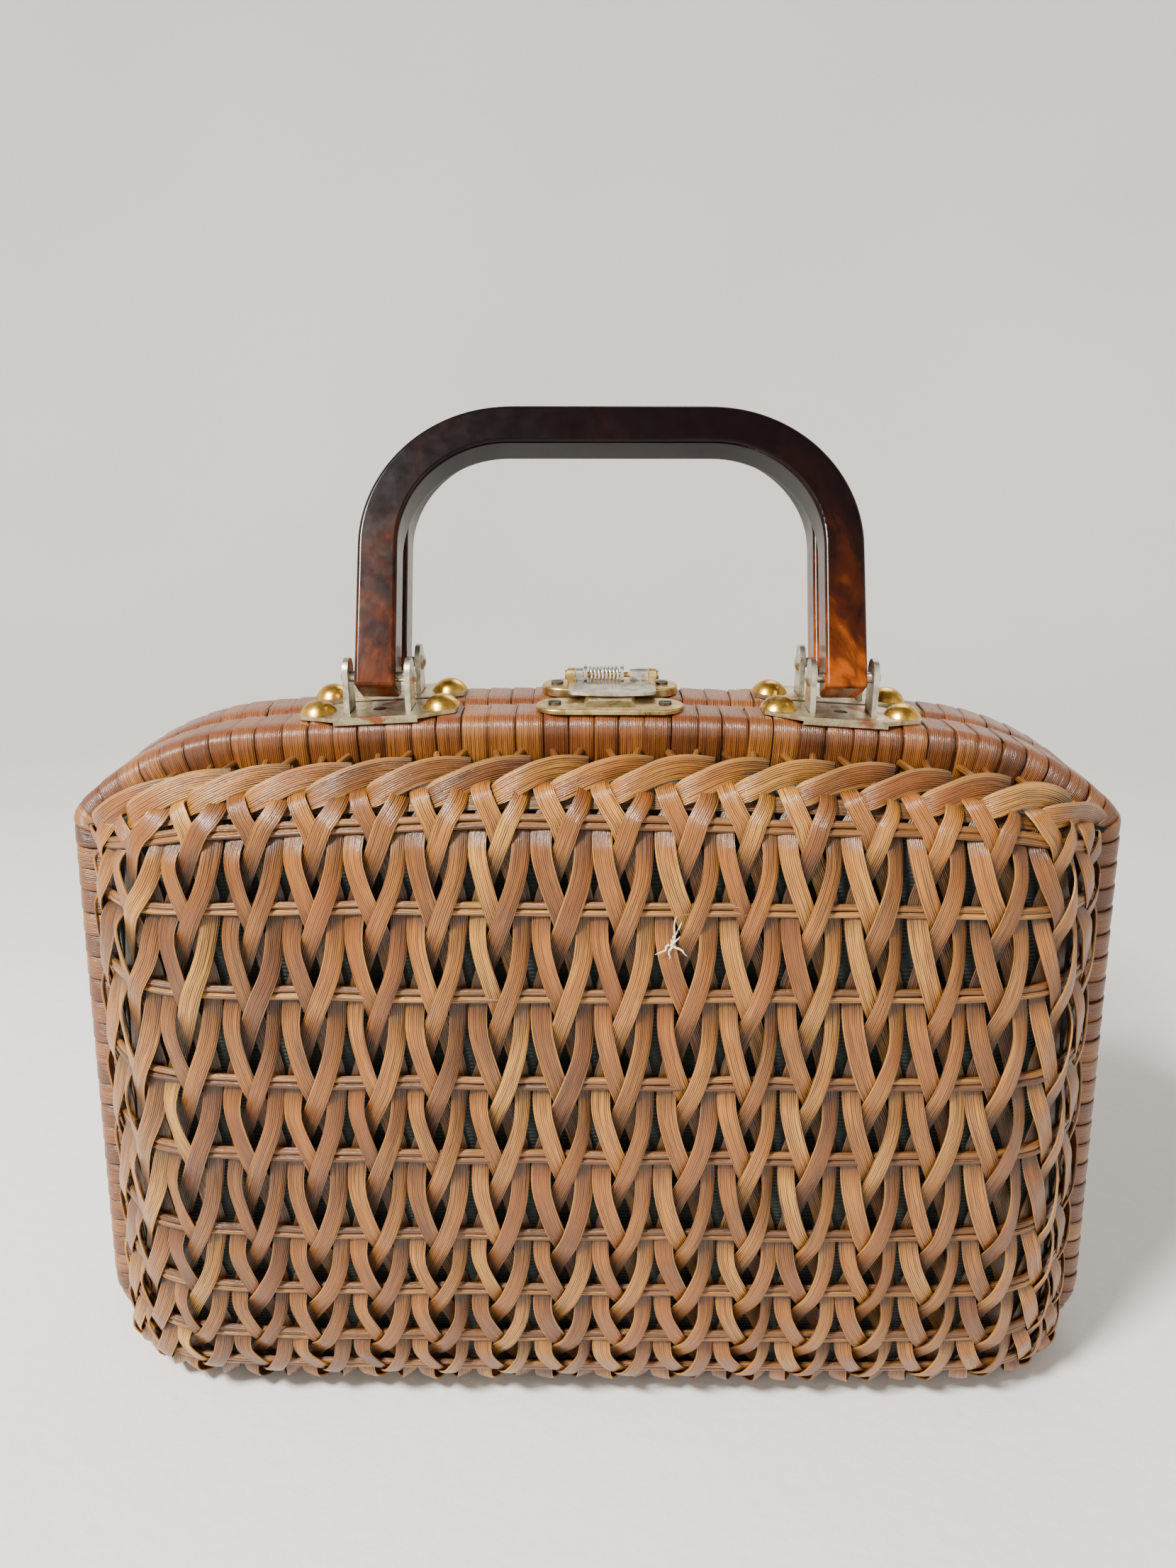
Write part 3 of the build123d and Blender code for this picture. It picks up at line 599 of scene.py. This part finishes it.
def border(half, seed, mirrored, material):
    """Strips that lie along the top edge of the tray, each one tucked under the next."""
    rng = random.Random(seed)
    builder = Builder()
    last = FACE_COLUMNS // 2 + SIDE_COLUMNS - 2
    for number, centre in enumerate(np.arange(-last, last + 1)):
        t = np.linspace(0, 1, BORDER_RINGS)
        knots = np.linspace(0, 1, len(BORDER_PATH))
        column, run, rise, roll = (
            blur(np.interp(t, knots, BORDER_PATH[:, k]), 2) for k in range(4)
        )
        arch = BORDER_ARCH * (number % 2) * rng.uniform(0.6, 1.2)
        rise = rise * rng.uniform(0.92, 1.08) + arch * np.sin(math.pi * t) ** 2
        run = run + rng.uniform(-0.5, 0.5)
        point, normal = TRAY.base(centre + column * rng.uniform(0.94, 1.08), TRAY.rows[0] + run)
        path = point + normal * rise[:, None]
        width = BORDER_WIDTH * rng.uniform(0.92, 1.08) * np.interp(t, [0, 0.16, 0.3], [0.5, 0.85, 1])
        tilt = roll + wander(rng, BORDER_RINGS, 5, 6)
        # Painted shade on the border strip's tucked ends.
        unshaded = np.interp(t, [0, 0.15, 0.75, 1.0], [0.1, 1.0, 0.9, 0.0])
        add_strip(builder, path, normal, width, rng.random(), tilt, rng.uniform(0, 400), unshaded)
    return builder.make(f"{half}_cane_border", material, mirrored)


STAKE_RINGS = 14
STAKE_START = 1.4                     # distance down the section, on the rim's face
STAKE_SPREAD = [0.24, 0.08]           # half the pair's spacing in columns, above and below
STAKE_RISE = [3.8, 3.0, 1.4, -0.6]


def stakes(half, seed, mirrored, material):
    """Pairs of round cane that run from the rim down behind the border, as open Vs."""
    rng = random.Random(seed)
    builder = Builder()
    last = FACE_COLUMNS // 2 + SIDE_COLUMNS - 1
    for centre in np.arange(-last + 0.5, last):
        for way in (-1, 1):
            t = np.linspace(0, 1, STAKE_RINGS)
            spread = np.interp(t, [0, 1], STAKE_SPREAD) + rng.gauss(0, 0.012)
            column = centre + way * spread + rng.gauss(0, 0.02)
            down = STAKE_START + (TRAY.rows[0] - STAKE_START) * t
            rise = np.interp(t, [0, 0.2, 0.6, 1.0], STAKE_RISE) + 0.2 * way
            path = TRAY.place(column, down, rise)
            add_rod(builder, path, STAKE_RADIUS * rng.uniform(0.9, 1.1), rng.random())
    return builder.make(f"{half}_cane_stakes", material, mirrored, sharp=60.0)


# ---- wrapped rim -----------------------------------------------------------------------

# Section of one turn of the wrapping, across the band: share of its width and height in mm.
BAND_ACROSS = np.array([-0.5, -0.45, -0.2, 0.1, 0.38, 0.47, 0.5, 0.45, -0.45])
BAND_RISE = np.array([-0.55, -0.12, 0.05, 0.12, 0.22, 0.16, -0.2, -0.9, -0.95])
BAND_SINK = 0.1                       # how far the turns lie under the outline
BAND_GAP = 0.1
SECTION_POINTS = 40
SHOULDER_START = 60.0                 # from here out the turns begin to slant
SHOULDER_RUN = 90.0
SHOULDER_SLANT = 2.2


def rim_section(count):
    """Rounded rectangle of the rim: depth from the outline and distance out, clockwise."""
    depth = RIM_FACE - PARTING
    centre = np.array([RIM_HEIGHT / 2, PARTING + depth / 2])
    half = np.array([RIM_HEIGHT / 2, depth / 2]) - RIM_EDGE_RADIUS
    corners = [(-1, -1, 270), (-1, 1, 180), (1, 1, 90), (1, -1, 0)]
    points = []
    for sx, sy, angle in corners:
        turn = np.radians(np.linspace(angle, angle - 90, 7))
        arc = RIM_EDGE_RADIUS * np.stack([np.cos(turn), np.sin(turn)], axis=1)
        points.append(centre + half * np.array([sx, sy]) + arc)
    loop = np.concatenate(points + [points[0][:1]])
    length = distance_along(loop)
    place = np.linspace(0, length[-1], count + 1)[:-1]
    section = np.stack([np.interp(place, length, loop[:, k]) for k in (0, 1)], axis=1)
    ahead = np.roll(section, -1, 0) - np.roll(section, 1, 0)
    normal = unit(np.stack([-ahead[:, 1], ahead[:, 0]], axis=1))
    outward = np.sign(((section - centre) * normal).sum(axis=1).mean())
    return section, normal * outward, place


def add_band(builder, rng, middle, width, slant):
    """One turn of flat cane around the rim, centred at an arc length of the outline."""
    section, normal, place = rim_section(SECTION_POINTS)
    depth = section[:, 0]
    out = section[:, 1]
    lean = slant * (out - out.mean()) / RIM_FACE + 0.25 * slant * (depth - depth.mean()) / RIM_HEIGHT
    wobble = 0.15 * np.sin(place / place[-1] * 2 * math.pi + rng.uniform(0, 6.28))
    rings = []
    for across, rise in zip(BAND_ACROSS, BAND_RISE):
        xz, outline_normal = OUTLINE.at(middle + across * width + lean + wobble)
        inward = depth + normal[:, 0] * (rise - BAND_SINK)
        x = xz[:, 0] - outline_normal[:, 0] * inward
        z = xz[:, 1] - outline_normal[:, 1] * inward
        y = -(out + normal[:, 1] * (rise - BAND_SINK))
        rings.append(np.stack([x, np.minimum(y, -PARTING), z], axis=1))
    rings = np.array(rings)
    across = (BAND_ACROSS * width)[:, None]
    along = place + rng.uniform(0, 400)
    builder.loft(rings, across, along, rng.random(), closed=True)


def wrapping(half, seed, mirrored, material):
    """Turns of flat cane side by side, all the way round one rim."""
    rng = random.Random(seed)
    builder = Builder()
    place = 0.0
    bands = []
    while place < OUTLINE.total:
        width = WRAP_PITCH * rng.uniform(0.9, 1.1)
        bands.append([place + width / 2, width])
        place += width
    stretch = OUTLINE.total / place
    for middle, width in bands:
        x, z = OUTLINE.at(np.array([middle * stretch]))[0][0]
        shoulder = float(np.clip((abs(x) - SHOULDER_START) / SHOULDER_RUN, 0, 1)) * (z > RIM_TOP / 2)
        slant = -math.copysign(SHOULDER_SLANT, x) * shoulder + rng.gauss(0, 0.35)
        add_band(builder, rng, middle * stretch, width * stretch - BAND_GAP, slant)
    return builder.make(f"{half}_rim_bands", material, mirrored, sharp=60.0)


# ---- lining ----------------------------------------------------------------------------

LINING_LAYERS = (-2.6, -3.4)          # heights of its outer and inner layer
LINING_COLUMNS = 104
LINING_ROWS = 100
LINING_HEM = 0.6


def lining(half, mirrored, material):
    """Ribbed cloth stretched over the inside of the tray, as two close layers."""
    column = np.linspace(-EDGE_COLUMN, EDGE_COLUMN, LINING_COLUMNS)
    down = np.linspace(LINING_HEM, TRAY.length - LINING_HEM, LINING_ROWS)
    grid_column, grid_down = np.meshgrid(column, down)
    outer, inner = (
        TRAY.place(grid_column, grid_down, np.full(grid_column.shape, rise))
        for rise in LINING_LAYERS
    )
    grain = np.stack([grid_column.ravel() * PITCH_TOP, grid_down.ravel()], axis=1)
    builder = Builder()
    builder.sheet(outer, inner, grain)
    return builder.make(f"{half}_lining_cloth", material, mirrored)


# ---- clasp spring ----------------------------------------------------------------------

SPRING_WIRE = 0.4
SPRING_TURNS = 8
SPRING_LEG = 7.5


def spring(material):
    """Wound spring of the clasp, with a leg under the flap and one along the base."""
    low, high = box_mm("clasp_spring")
    centre = (low + high) / 2
    radius = (high[2] - low[2]) / 2 - SPRING_WIRE
    start = low[0] + SPRING_WIRE
    end = high[0] - SPRING_WIRE
    turn = np.linspace(0, SPRING_TURNS * 2 * math.pi, SPRING_TURNS * 20)
    x = start + (end - start) * turn / turn[-1]
    y = centre[1] + radius * np.sin(turn)
    z = centre[2] - radius * np.cos(turn)
    coil = np.stack([x, y, z], axis=1)
    back_leg = coil[0] + np.linspace(SPRING_LEG, 0.6, 8)[:, None] * np.array([0, -1, 0])
    front_leg = coil[-1] + np.linspace(0.6, SPRING_LEG, 8)[:, None] * np.array([0, 1, 0])
    path = np.concatenate([back_leg, coil, front_leg])
    builder = Builder()
    add_rod(builder, path, SPRING_WIRE, 0.5)
    return builder.make("clasp_spring_coil", material, sharp=60.0)


# ---- materials -------------------------------------------------------------------------

def linear(code):
    """Scene colour of a display colour written as six hex digits."""
    parts = [int(code[i:i + 2], 16) / 255 for i in (0, 2, 4)]
    return tuple(((c + 0.055) / 1.055) ** 2.4 if c > 0.04 else c / 12.92 for c in parts) + (1.0,)


class Finish:
    """A procedural material, put together node by node."""

    def __init__(self, name, **uniform):
        """A new material; uniform values go on the shader's own sockets."""
        self.material = bpy.data.materials.new(name)
        self.material.use_nodes = True
        tree = self.material.node_tree
        self.nodes = tree.nodes
        self.links = tree.links
        self.shader = self.nodes["Principled BSDF"]
        for socket, value in uniform.items():
            self.shader.inputs[socket.replace("_", " ")].default_value = value

    def node(self, kind, inputs=None, **settings):
        """A node with its settings; an input is a number, a hex code or another output."""
        made = self.nodes.new(kind)
        for key, value in settings.items():
            setattr(made, key, value)
        for socket, value in (inputs or {}).items():
            self.put(value, made.inputs[socket])
        return made

    def put(self, value, socket):
        """Links an output to a socket, or sets it to a number or a colour's hex code."""
        if isinstance(value, bpy.types.NodeSocket):
            self.links.new(value, socket)
        else:
            socket.default_value = linear(value) if isinstance(value, str) else value

    def grain(self):
        """Across and along a strip in millimetres, as two outputs."""
        uv = self.node("ShaderNodeUVMap", uv_map="grain").outputs["UV"]
        parts = self.node("ShaderNodeSeparateXYZ", {0: uv})
        return parts.outputs["X"], parts.outputs["Y"]

    def place(self):
        """Object coordinates: metres in the frame."""
        return self.node("ShaderNodeTexCoord").outputs["Object"]

    def tone(self):
        """Each strip's own number from 0 to 1."""
        made = self.node("ShaderNodeAttribute", attribute_name="tone")
        return made.outputs["Fac"]

    def vector(self, x, y, z):
        """Three values as one vector."""
        return self.node("ShaderNodeCombineXYZ", {0: x, 1: y, 2: z}).outputs[0]

    def math(self, operation, a, b=0.0):
        """One sum on one or two values."""
        return self.node("ShaderNodeMath", {0: a, 1: b}, operation=operation).outputs[0]

    def scaled(self, grain, scales, shift=0.0):
        """Grain coordinates scaled each way, with shift as the third coordinate."""
        across, along = (self.math("MULTIPLY", g, scale) for g, scale in zip(grain, scales))
        return self.vector(across, along, shift)

    def stretched(self, vector, scale):
        """A vector scaled axis by axis."""
        made = self.node("ShaderNodeVectorMath", {0: vector, 1: scale}, operation="MULTIPLY")
        return made.outputs[0]

    def noise(self, vector, scale, detail=3.0, roughness=0.5, distortion=0.0):
        """Cloudy noise, about 0 to 1."""
        made = self.node("ShaderNodeTexNoise", {
            "Vector": vector, "Scale": scale, "Detail": detail,
            "Roughness": roughness, "Distortion": distortion,
        })
        return made.outputs["Fac"]

    def ramp(self, value, stops):
        """Colour ramp: stops are (place, hex code or grey level)."""
        made = self.node("ShaderNodeValToRGB", {0: value})
        elements = made.color_ramp.elements
        while len(elements) < len(stops):
            elements.new(0.5)
        for element, (place, colour) in zip(elements, stops):
            element.position = place
            grey = not isinstance(colour, str)
            element.color = (colour, colour, colour, 1.0) if grey else linear(colour)
        return made.outputs["Color"]

    def span(self, value, low, high):
        """Value from 0 to 1 in, from low to high out."""
        made = self.node("ShaderNodeMapRange", {0: value, 3: low, 4: high})
        return made.outputs[0]

    def mix(self, share, a, b, blend="MIX"):
        """Colour a, with b laid over it by share."""
        made = self.node("ShaderNodeMix", data_type="RGBA", blend_type=blend)
        self.put(share, made.inputs[0])
        self.put(a, made.inputs[6])
        self.put(b, made.inputs[7])
        return made.outputs[2]

    def bump(self, height, strength, distance, below=None):
        """A normal roughened by height, on top of the normal below."""
        inputs = {"Height": height, "Strength": strength, "Distance": distance}
        if below is not None:
            inputs["Normal"] = below
        return self.node("ShaderNodeBump", inputs).outputs[0]

    def finish(self, colour=None, roughness=None, normal=None):
        """Connects the main sockets and returns the material."""
        wanted = {"Base Color": colour, "Roughness": roughness, "Normal": normal}
        for socket, output in wanted.items():
            if output is not None:
                self.links.new(output, self.shader.inputs[socket])
        if normal is not None:
            self.links.new(normal, self.shader.inputs["Coat Normal"])
        return self.material


def cane_grain(f, grain, own):
    """Dark ridges, fine fibres, flecks and clouds along a strip, from its own number."""
    sway = f.math("MULTIPLY", f.noise(f.scaled(grain, (0.2, 0.04), own), 1.0, 2.0), 9.0)
    wave = f.math("SINE", f.math("ADD", f.math("MULTIPLY", grain[0], 11.0), sway))
    fibre = f.noise(f.scaled(grain, (2.2, 0.05), own), 1.0, 5.0, 0.62)
    ridge = f.math("ADD", f.math("MULTIPLY", wave, 0.13), fibre)
    fleck = f.noise(f.scaled(grain, (1.3, 0.12), own), 1.0, 3.0, 0.55)
    cloud = f.noise(f.scaled(grain, (0.12, 0.05), own), 1.0)
    return ridge, fibre, fleck, cloud


def cane(name, pale, honey, brown, flush, edge=2.5, edge_colour="a8793a", topping=0.1):
    """Varnished cane: dark lines along each strip, its own tone, flecks, and painted shade in the
    hollows.

    Beyond edge mm from a strip's middle lies edge_colour. What faces up is flushed by topping.
    """
    f = Finish(name, Coat_Weight=0.32, Coat_Roughness=0.16, Specular_IOR_Level=0.4)
    grain = f.grain()
    tone = f.tone()
    ridge, fibre, fleck, cloud = cane_grain(f, grain, f.math("MULTIPLY", tone, 91.0))
    stain = f.noise(f.place(), 22.0, 4.0, 0.6)
    shade = f.math("ADD", f.math("MULTIPLY", tone, 0.5), f.math("MULTIPLY", cloud, 0.6))
    base = f.ramp(shade, [(0.2, pale), (0.5, honey), (0.85, brown)])
    lines = f.ramp(ridge, [(0.36, 1.0), (0.45, 0.6), (0.53, 0.0)])
    grained = f.mix(f.math("MULTIPLY", lines, 0.9), base, "2e1404")
    flecks = f.ramp(fleck, [(0.28, 1.0), (0.38, 0.0)])
    flecked = f.mix(f.math("MULTIPLY", flecks, 0.55), grained, "40200a")
    stained = f.math("MULTIPLY", f.ramp(stain, [(0.45, 0.0), (0.7, 1.0)]), 0.55)
    flushed = f.mix(stained, flecked, flush)
    # Strip edges take edge_colour: on the tray a paler cut edge, on the rim painted shade between the
    # turns.
    rim = f.math("GREATER_THAN", f.math("ABSOLUTE", grain[0]), edge)
    edged = f.mix(f.math("MULTIPLY", rim, 0.5), flushed, edge_colour)
    facing = f.node("ShaderNodeTexCoord").outputs["Normal"]
    upward = f.node("ShaderNodeSeparateXYZ", {0: facing}).outputs["Z"]
    topped = f.math("MULTIPLY", f.ramp(upward, [(0.35, 0.0), (0.9, 1.0)]), topping)
    capped = f.mix(topped, edged, flush)
    # Painted shade: tucked and low parts of the strips are darkened by multiplying their colour.
    unshaded = f.node("ShaderNodeAttribute", attribute_name="unshaded").outputs["Fac"]
    hollow_shade = f.ramp(unshaded, [(0.0, 0.22), (0.45, 0.6), (1.0, 1.0)])
    shaded = f.mix(1.0, capped, hollow_shade, "MULTIPLY")
    rough = f.span(fibre, 0.22, 0.52)
    ridges = f.bump(ridge, 0.7, 0.0005)
    normal = f.bump(fleck, 0.25, 0.0006, ridges)
    return f.finish(shaded, rough, normal)


def bare_fibre():
    """Broken cane with its varnish gone."""
    f = Finish("cane_bare_fibre", Specular_IOR_Level=0.25)
    threads = f.noise(f.scaled(f.grain(), (6.0, 0.5)), 1.0)
    colour = f.ramp(threads, [(0.35, "c4ad8c"), (0.6, "ece2d2")])
    return f.finish(colour, f.span(threads, 0.6, 0.9), f.bump(threads, 0.4, 0.0002))


def tortoiseshell():
    """Moulded tortoiseshell: near black above, with amber clouds that grow down the legs."""
    f = Finish("tortoiseshell_resin", Coat_Weight=0.05, Coat_Roughness=0.08, Specular_IOR_Level=0.12)
    place = f.place()
    low = RIM_TOP * MM
    height = f.node("ShaderNodeSeparateXYZ", {0: place}).outputs["Z"]
    share = f.node("ShaderNodeMapRange", {0: height, 1: low + 0.005, 2: low + 0.072}).outputs[0]
    cloud = f.noise(f.stretched(place, (1.0, 1.0, 0.45)), 62.0, 4.0, 0.62, 0.9)
    spots = f.noise(f.stretched(place, (1.0, 1.0, 0.7)), 170.0, 3.0, 0.6, 0.5)
    mixed = f.math("ADD", f.math("MULTIPLY", share, 0.5), f.math("MULTIPLY", cloud, 0.85))
    speckled = f.math("ADD", mixed, f.math("MULTIPLY", f.math("SUBTRACT", spots, 0.5), 0.22))
    colour = f.ramp(speckled, [
        (0.36, "7a3a0c"), (0.47, "4c2108"), (0.58, "2c1005"),
        (0.72, "150705"), (0.9, "0a0405"),
    ])
    rough = f.span(f.noise(place, 240.0, 2.0), 0.14, 0.3)
    normal = f.bump(f.noise(place, 130.0, 2.0), 0.12, 0.0004)
    return f.finish(colour, rough, normal)


METAL_WEAR = 0.25                     # roughness that wear adds to the gloss


def metal(name, bright, dull, patch, patchiness, gloss):
    """Plated metal: uneven polish, dull areas, and patches where the plating has gone."""
    f = Finish(name, Metallic=1.0)
    place = f.place()
    cloud = f.noise(place, 260.0, 4.0, 0.6)
    marks = f.noise(f.stretched(place, (1.0, 2.4, 1.0)), 520.0, 5.0, 0.65)
    base = f.mix(f.ramp(cloud, [(0.42, 0.0), (0.62, 1.0)]), bright, dull)
    edge = 0.66 - patchiness * 0.2
    worn = f.ramp(f.noise(place, 120.0, 5.0, 0.62, 0.6), [(edge, 0.0), (edge + 0.07, 1.0)])
    colour = f.mix(worn, base, patch)
    rough = f.math("ADD", f.span(marks, gloss, gloss + METAL_WEAR), f.math("MULTIPLY", worn, 0.12))
    normal = f.bump(marks, 0.16, 0.0002, f.bump(cloud, 0.12, 0.0004))
    return f.finish(colour, rough, normal)


def wood():
    """Bent wooden hoop under the wrapping."""
    f = Finish("hoop_wood_grain")
    place = f.place()
    grain = f.noise(f.stretched(place, (1.0, 9.0, 9.0)), 90.0, 4.0, 0.6)
    colour = f.ramp(grain, [(0.35, "4e2f14"), (0.65, "7c5028")])
    return f.finish(colour, f.span(grain, 0.5, 0.8), f.bump(grain, 0.4, 0.0005))


def ribbed_cloth():
    """Dark green ribbed lining."""
    f = Finish("lining_ribbed", Sheen_Weight=0.08, Sheen_Roughness=0.5)
    grain = f.grain()
    ribs = f.math("SINE", f.math("MULTIPLY", grain[1], 5.2))
    threads = f.noise(f.scaled(grain, (4.0, 4.0)), 1.0, 2.0)
    cloud = f.noise(f.place(), 30.0, 3.0)
    tint = f.ramp(cloud, [(0.3, "08110c"), (0.7, "101d16")])
    colour = f.mix(f.span(ribs, 0.0, 0.3), tint, "040705")
    normal = f.bump(f.math("ADD", ribs, threads), 0.5, 0.0004)
    return f.finish(colour, f.span(threads, 0.65, 0.95), normal)


def plaster():
    """Pale backdrop with a faint orange-peel texture."""
    f = Finish("pale_backdrop", Roughness=0.9)
    place = f.place()
    peel = f.noise(place, 130.0, 3.0, 0.55)
    colour = f.ramp(f.noise(place, 2.0, 2.0), [(0.3, "cfcdc9"), (0.7, "d8d6d3")])
    return f.finish(colour, None, f.bump(peel, 0.25, 0.002))


CANE_TRAY = cane("cane_plaited", "c8923c", "a0641c", "683808", "82450e")
CANE_RODS = cane("cane_round", "a8742e", "80501a", "4c2a08", "643a10", edge=9.0)
# The rim's dark edge colour is painted shade in the gaps between the turns of wrapping.
CANE_RIM = cane(
    "cane_wrapped", "a46a28", "7e4816", "502806", "5e2c0c", edge=3.25,
    edge_colour="2c1406", topping=0.6,
)
BARE_FIBRE = bare_fibre()
LINING = ribbed_cloth()
BACKDROP = plaster()

# slot: bright, dull and patch colours, patchiness, gloss
METALS = {
    "tack_brass": ("d8ac4c", "a87c2c", "6a4a20", 0.1, 0.16),
    "plate_brass": ("cfc2a0", "a4946c", "a5674a", 0.45, 0.22),
    "bracket_steel": ("c9c2b2", "97907f", "6b5f4a", 0.3, 0.24),
    "clasp_brass": ("d6bd84", "a98d52", "6e5836", 0.4, 0.22),
    "clasp_nickel": ("d8d5cd", "a9a59a", "8a7a58", 0.25, 0.2),
    "screw_steel": ("5c5850", "38352f", "6d5a3a", 0.35, 0.34),
    "hinge_brass": ("c7a765", "8f7440", "5b4a2c", 0.35, 0.28),
}

SLOT_FINISH = {
    "cane_tray": CANE_TRAY,
    "cane_rim": CANE_RIM,
    "hoop_wood": wood(),
    "lining_cloth": LINING,
    "tortoiseshell": tortoiseshell(),
}
for slot, row in METALS.items():
    SLOT_FINISH[slot] = metal(f"{slot}_finish", *row)


def finish_nodes():
    """Gives every CAD node the finish of its material slot."""
    for part in frame["record"]["subparts"]:
        for place in frame["nodes"][part["node"]].material_slots:
            place.material = SLOT_FINISH[part["material_slot"]]


# ---- stage, light and camera -----------------------------------------------------------

STAGE_FLOOR = [0.02, 0.7]             # radii of the flat floor's two inner rings, in metres
STAGE_RADIUS = 1.35
STAGE_CURVE = 0.5
STAGE_HEIGHT = 2.4
STAGE_SIDES = 96


def make_stage():
    """Round pale floor that curves up into a wall on every side."""
    turn = np.linspace(0, math.pi / 2, 13)
    bend = STAGE_RADIUS - STAGE_CURVE + STAGE_CURVE * np.sin(turn)
    radius = np.concatenate([STAGE_FLOOR, bend, [STAGE_RADIUS]])
    height = np.concatenate([[0, 0], STAGE_CURVE * (1 - np.cos(turn)), [STAGE_HEIGHT]])
    around = np.linspace(0, 2 * math.pi, STAGE_SIDES + 1)[:-1]
    rings = np.stack([
        radius[:, None] * np.cos(around), radius[:, None] * np.sin(around),
        np.repeat(height[:, None], STAGE_SIDES, 1),
    ], axis=-1)
    index = np.arange(len(rings) * STAGE_SIDES).reshape(-1, STAGE_SIDES)
    near, far = index[:-1], index[1:]
    quads = np.stack([near, np.roll(near, -1, 1), np.roll(far, -1, 1), far], axis=-1).reshape(-1, 4)
    mesh = bpy.data.meshes.new("stage_floor")
    faces = quads.tolist() + [index[0][::-1].tolist()]
    mesh.from_pydata(rings.reshape(-1, 3).tolist(), [], faces)
    mesh.polygons.foreach_set("use_smooth", np.ones(len(faces), dtype=bool))
    mesh.materials.append(BACKDROP)
    floor = link(bpy.data.objects.new("stage_floor", mesh))


WORLD_COLOUR = (0.93, 0.96, 1.0, 1.0)
WORLD_STRENGTH = 0.26
LIGHT_TARGET = (0.0, 0.0, 0.13)
# name, place, diameter in metres, watts, colour
LIGHTS = [
    ("key", (-0.55, -0.55, 1.1), 0.24, 50.0, (1.0, 0.97, 0.92)),
    ("fill", (0.95, -0.9, 0.55), 0.9, 4.0, (0.95, 0.97, 1.0)),
    ("back", (0.3, 0.8, 1.0), 0.6, 4.0, (1.0, 0.98, 0.95)),
]


def add_light(name, place, size, power, colour):
    """A round soft light that faces the middle of the bag."""
    data = bpy.data.lights.new(name, "AREA")
    data.shape = "DISK"
    data.size = size
    data.energy = power
    data.color = colour
    light = link(bpy.data.objects.new(name, data))
    way = np.array(LIGHT_TARGET) - np.array(place)
    across = math.hypot(way[0], way[1])
    light.location = place
    light.rotation_euler = (math.atan2(across, -way[2]), 0, math.atan2(-way[0], way[1]))


def make_lights():
    """An even pale surround and the three lights."""
    world = bpy.data.worlds.new("studio")
    world.use_nodes = True
    surround = world.node_tree.nodes["Background"].inputs
    surround["Color"].default_value = WORLD_COLOUR
    surround["Strength"].default_value = WORLD_STRENGTH
    bpy.context.scene.world = world
    for light in LIGHTS:
        add_light(*light)


CAMERA_PLACE = (0.0015, -0.3455, 0.3093)
CAMERA_PITCH = 0.32
CAMERA_ROLL = 0.011
CAMERA_LENS = 26.85


def make_camera():
    """The camera in front of the bag, looking slightly down."""
    data = bpy.data.cameras.new("camera")
    data.lens = CAMERA_LENS
    data.sensor_width = 36.0
    data.clip_start = 0.01
    camera = link(bpy.data.objects.new("camera", data))
    camera.location = CAMERA_PLACE
    camera.rotation_euler = (math.pi / 2 - CAMERA_PITCH, 0, CAMERA_ROLL)
    bpy.context.scene.camera = camera


# ---- building the scene ----------------------------------------------------------------


def build_half(half, seed, mirrored):
    """Everything woven, wrapped or lined on one half, riding on that half's body."""
    body = f"{half}_half"
    plait = weave(half, seed, mirrored, CANE_TRAY)
    rod_pairs = rods(half, seed + 1, mirrored, CANE_RODS)
    edge = border(half, seed + 2, mirrored, CANE_TRAY)
    v_stakes = stakes(half, seed + 3, mirrored, CANE_RODS)
    for piece in (plait, rod_pairs, edge, v_stakes):
        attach(piece, body)
        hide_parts(f"{half}_woven_tray")
    bands = wrapping(half, seed + 4, mirrored, CANE_RIM)
    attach(bands, body)
    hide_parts(f"{half}_rim_wrapping")
    cloth = lining(half, mirrored, LINING)
    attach(cloth, body)
    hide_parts(f"{half}_lining")


def build():
    """The whole bag, then the stage, the lights and the camera."""
    finish_nodes()
    build_half("front", 11, False)
    build_half("rear", 71, True)
    splinter = frays(BARE_FIBRE)
    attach(splinter, "front_half")
    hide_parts("front_woven_tray")
    coil = spring(SLOT_FINISH["clasp_nickel"])
    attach(coil, "rear_half")
    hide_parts("clasp_spring")
    make_stage()
    make_lights()
    make_camera()


build()
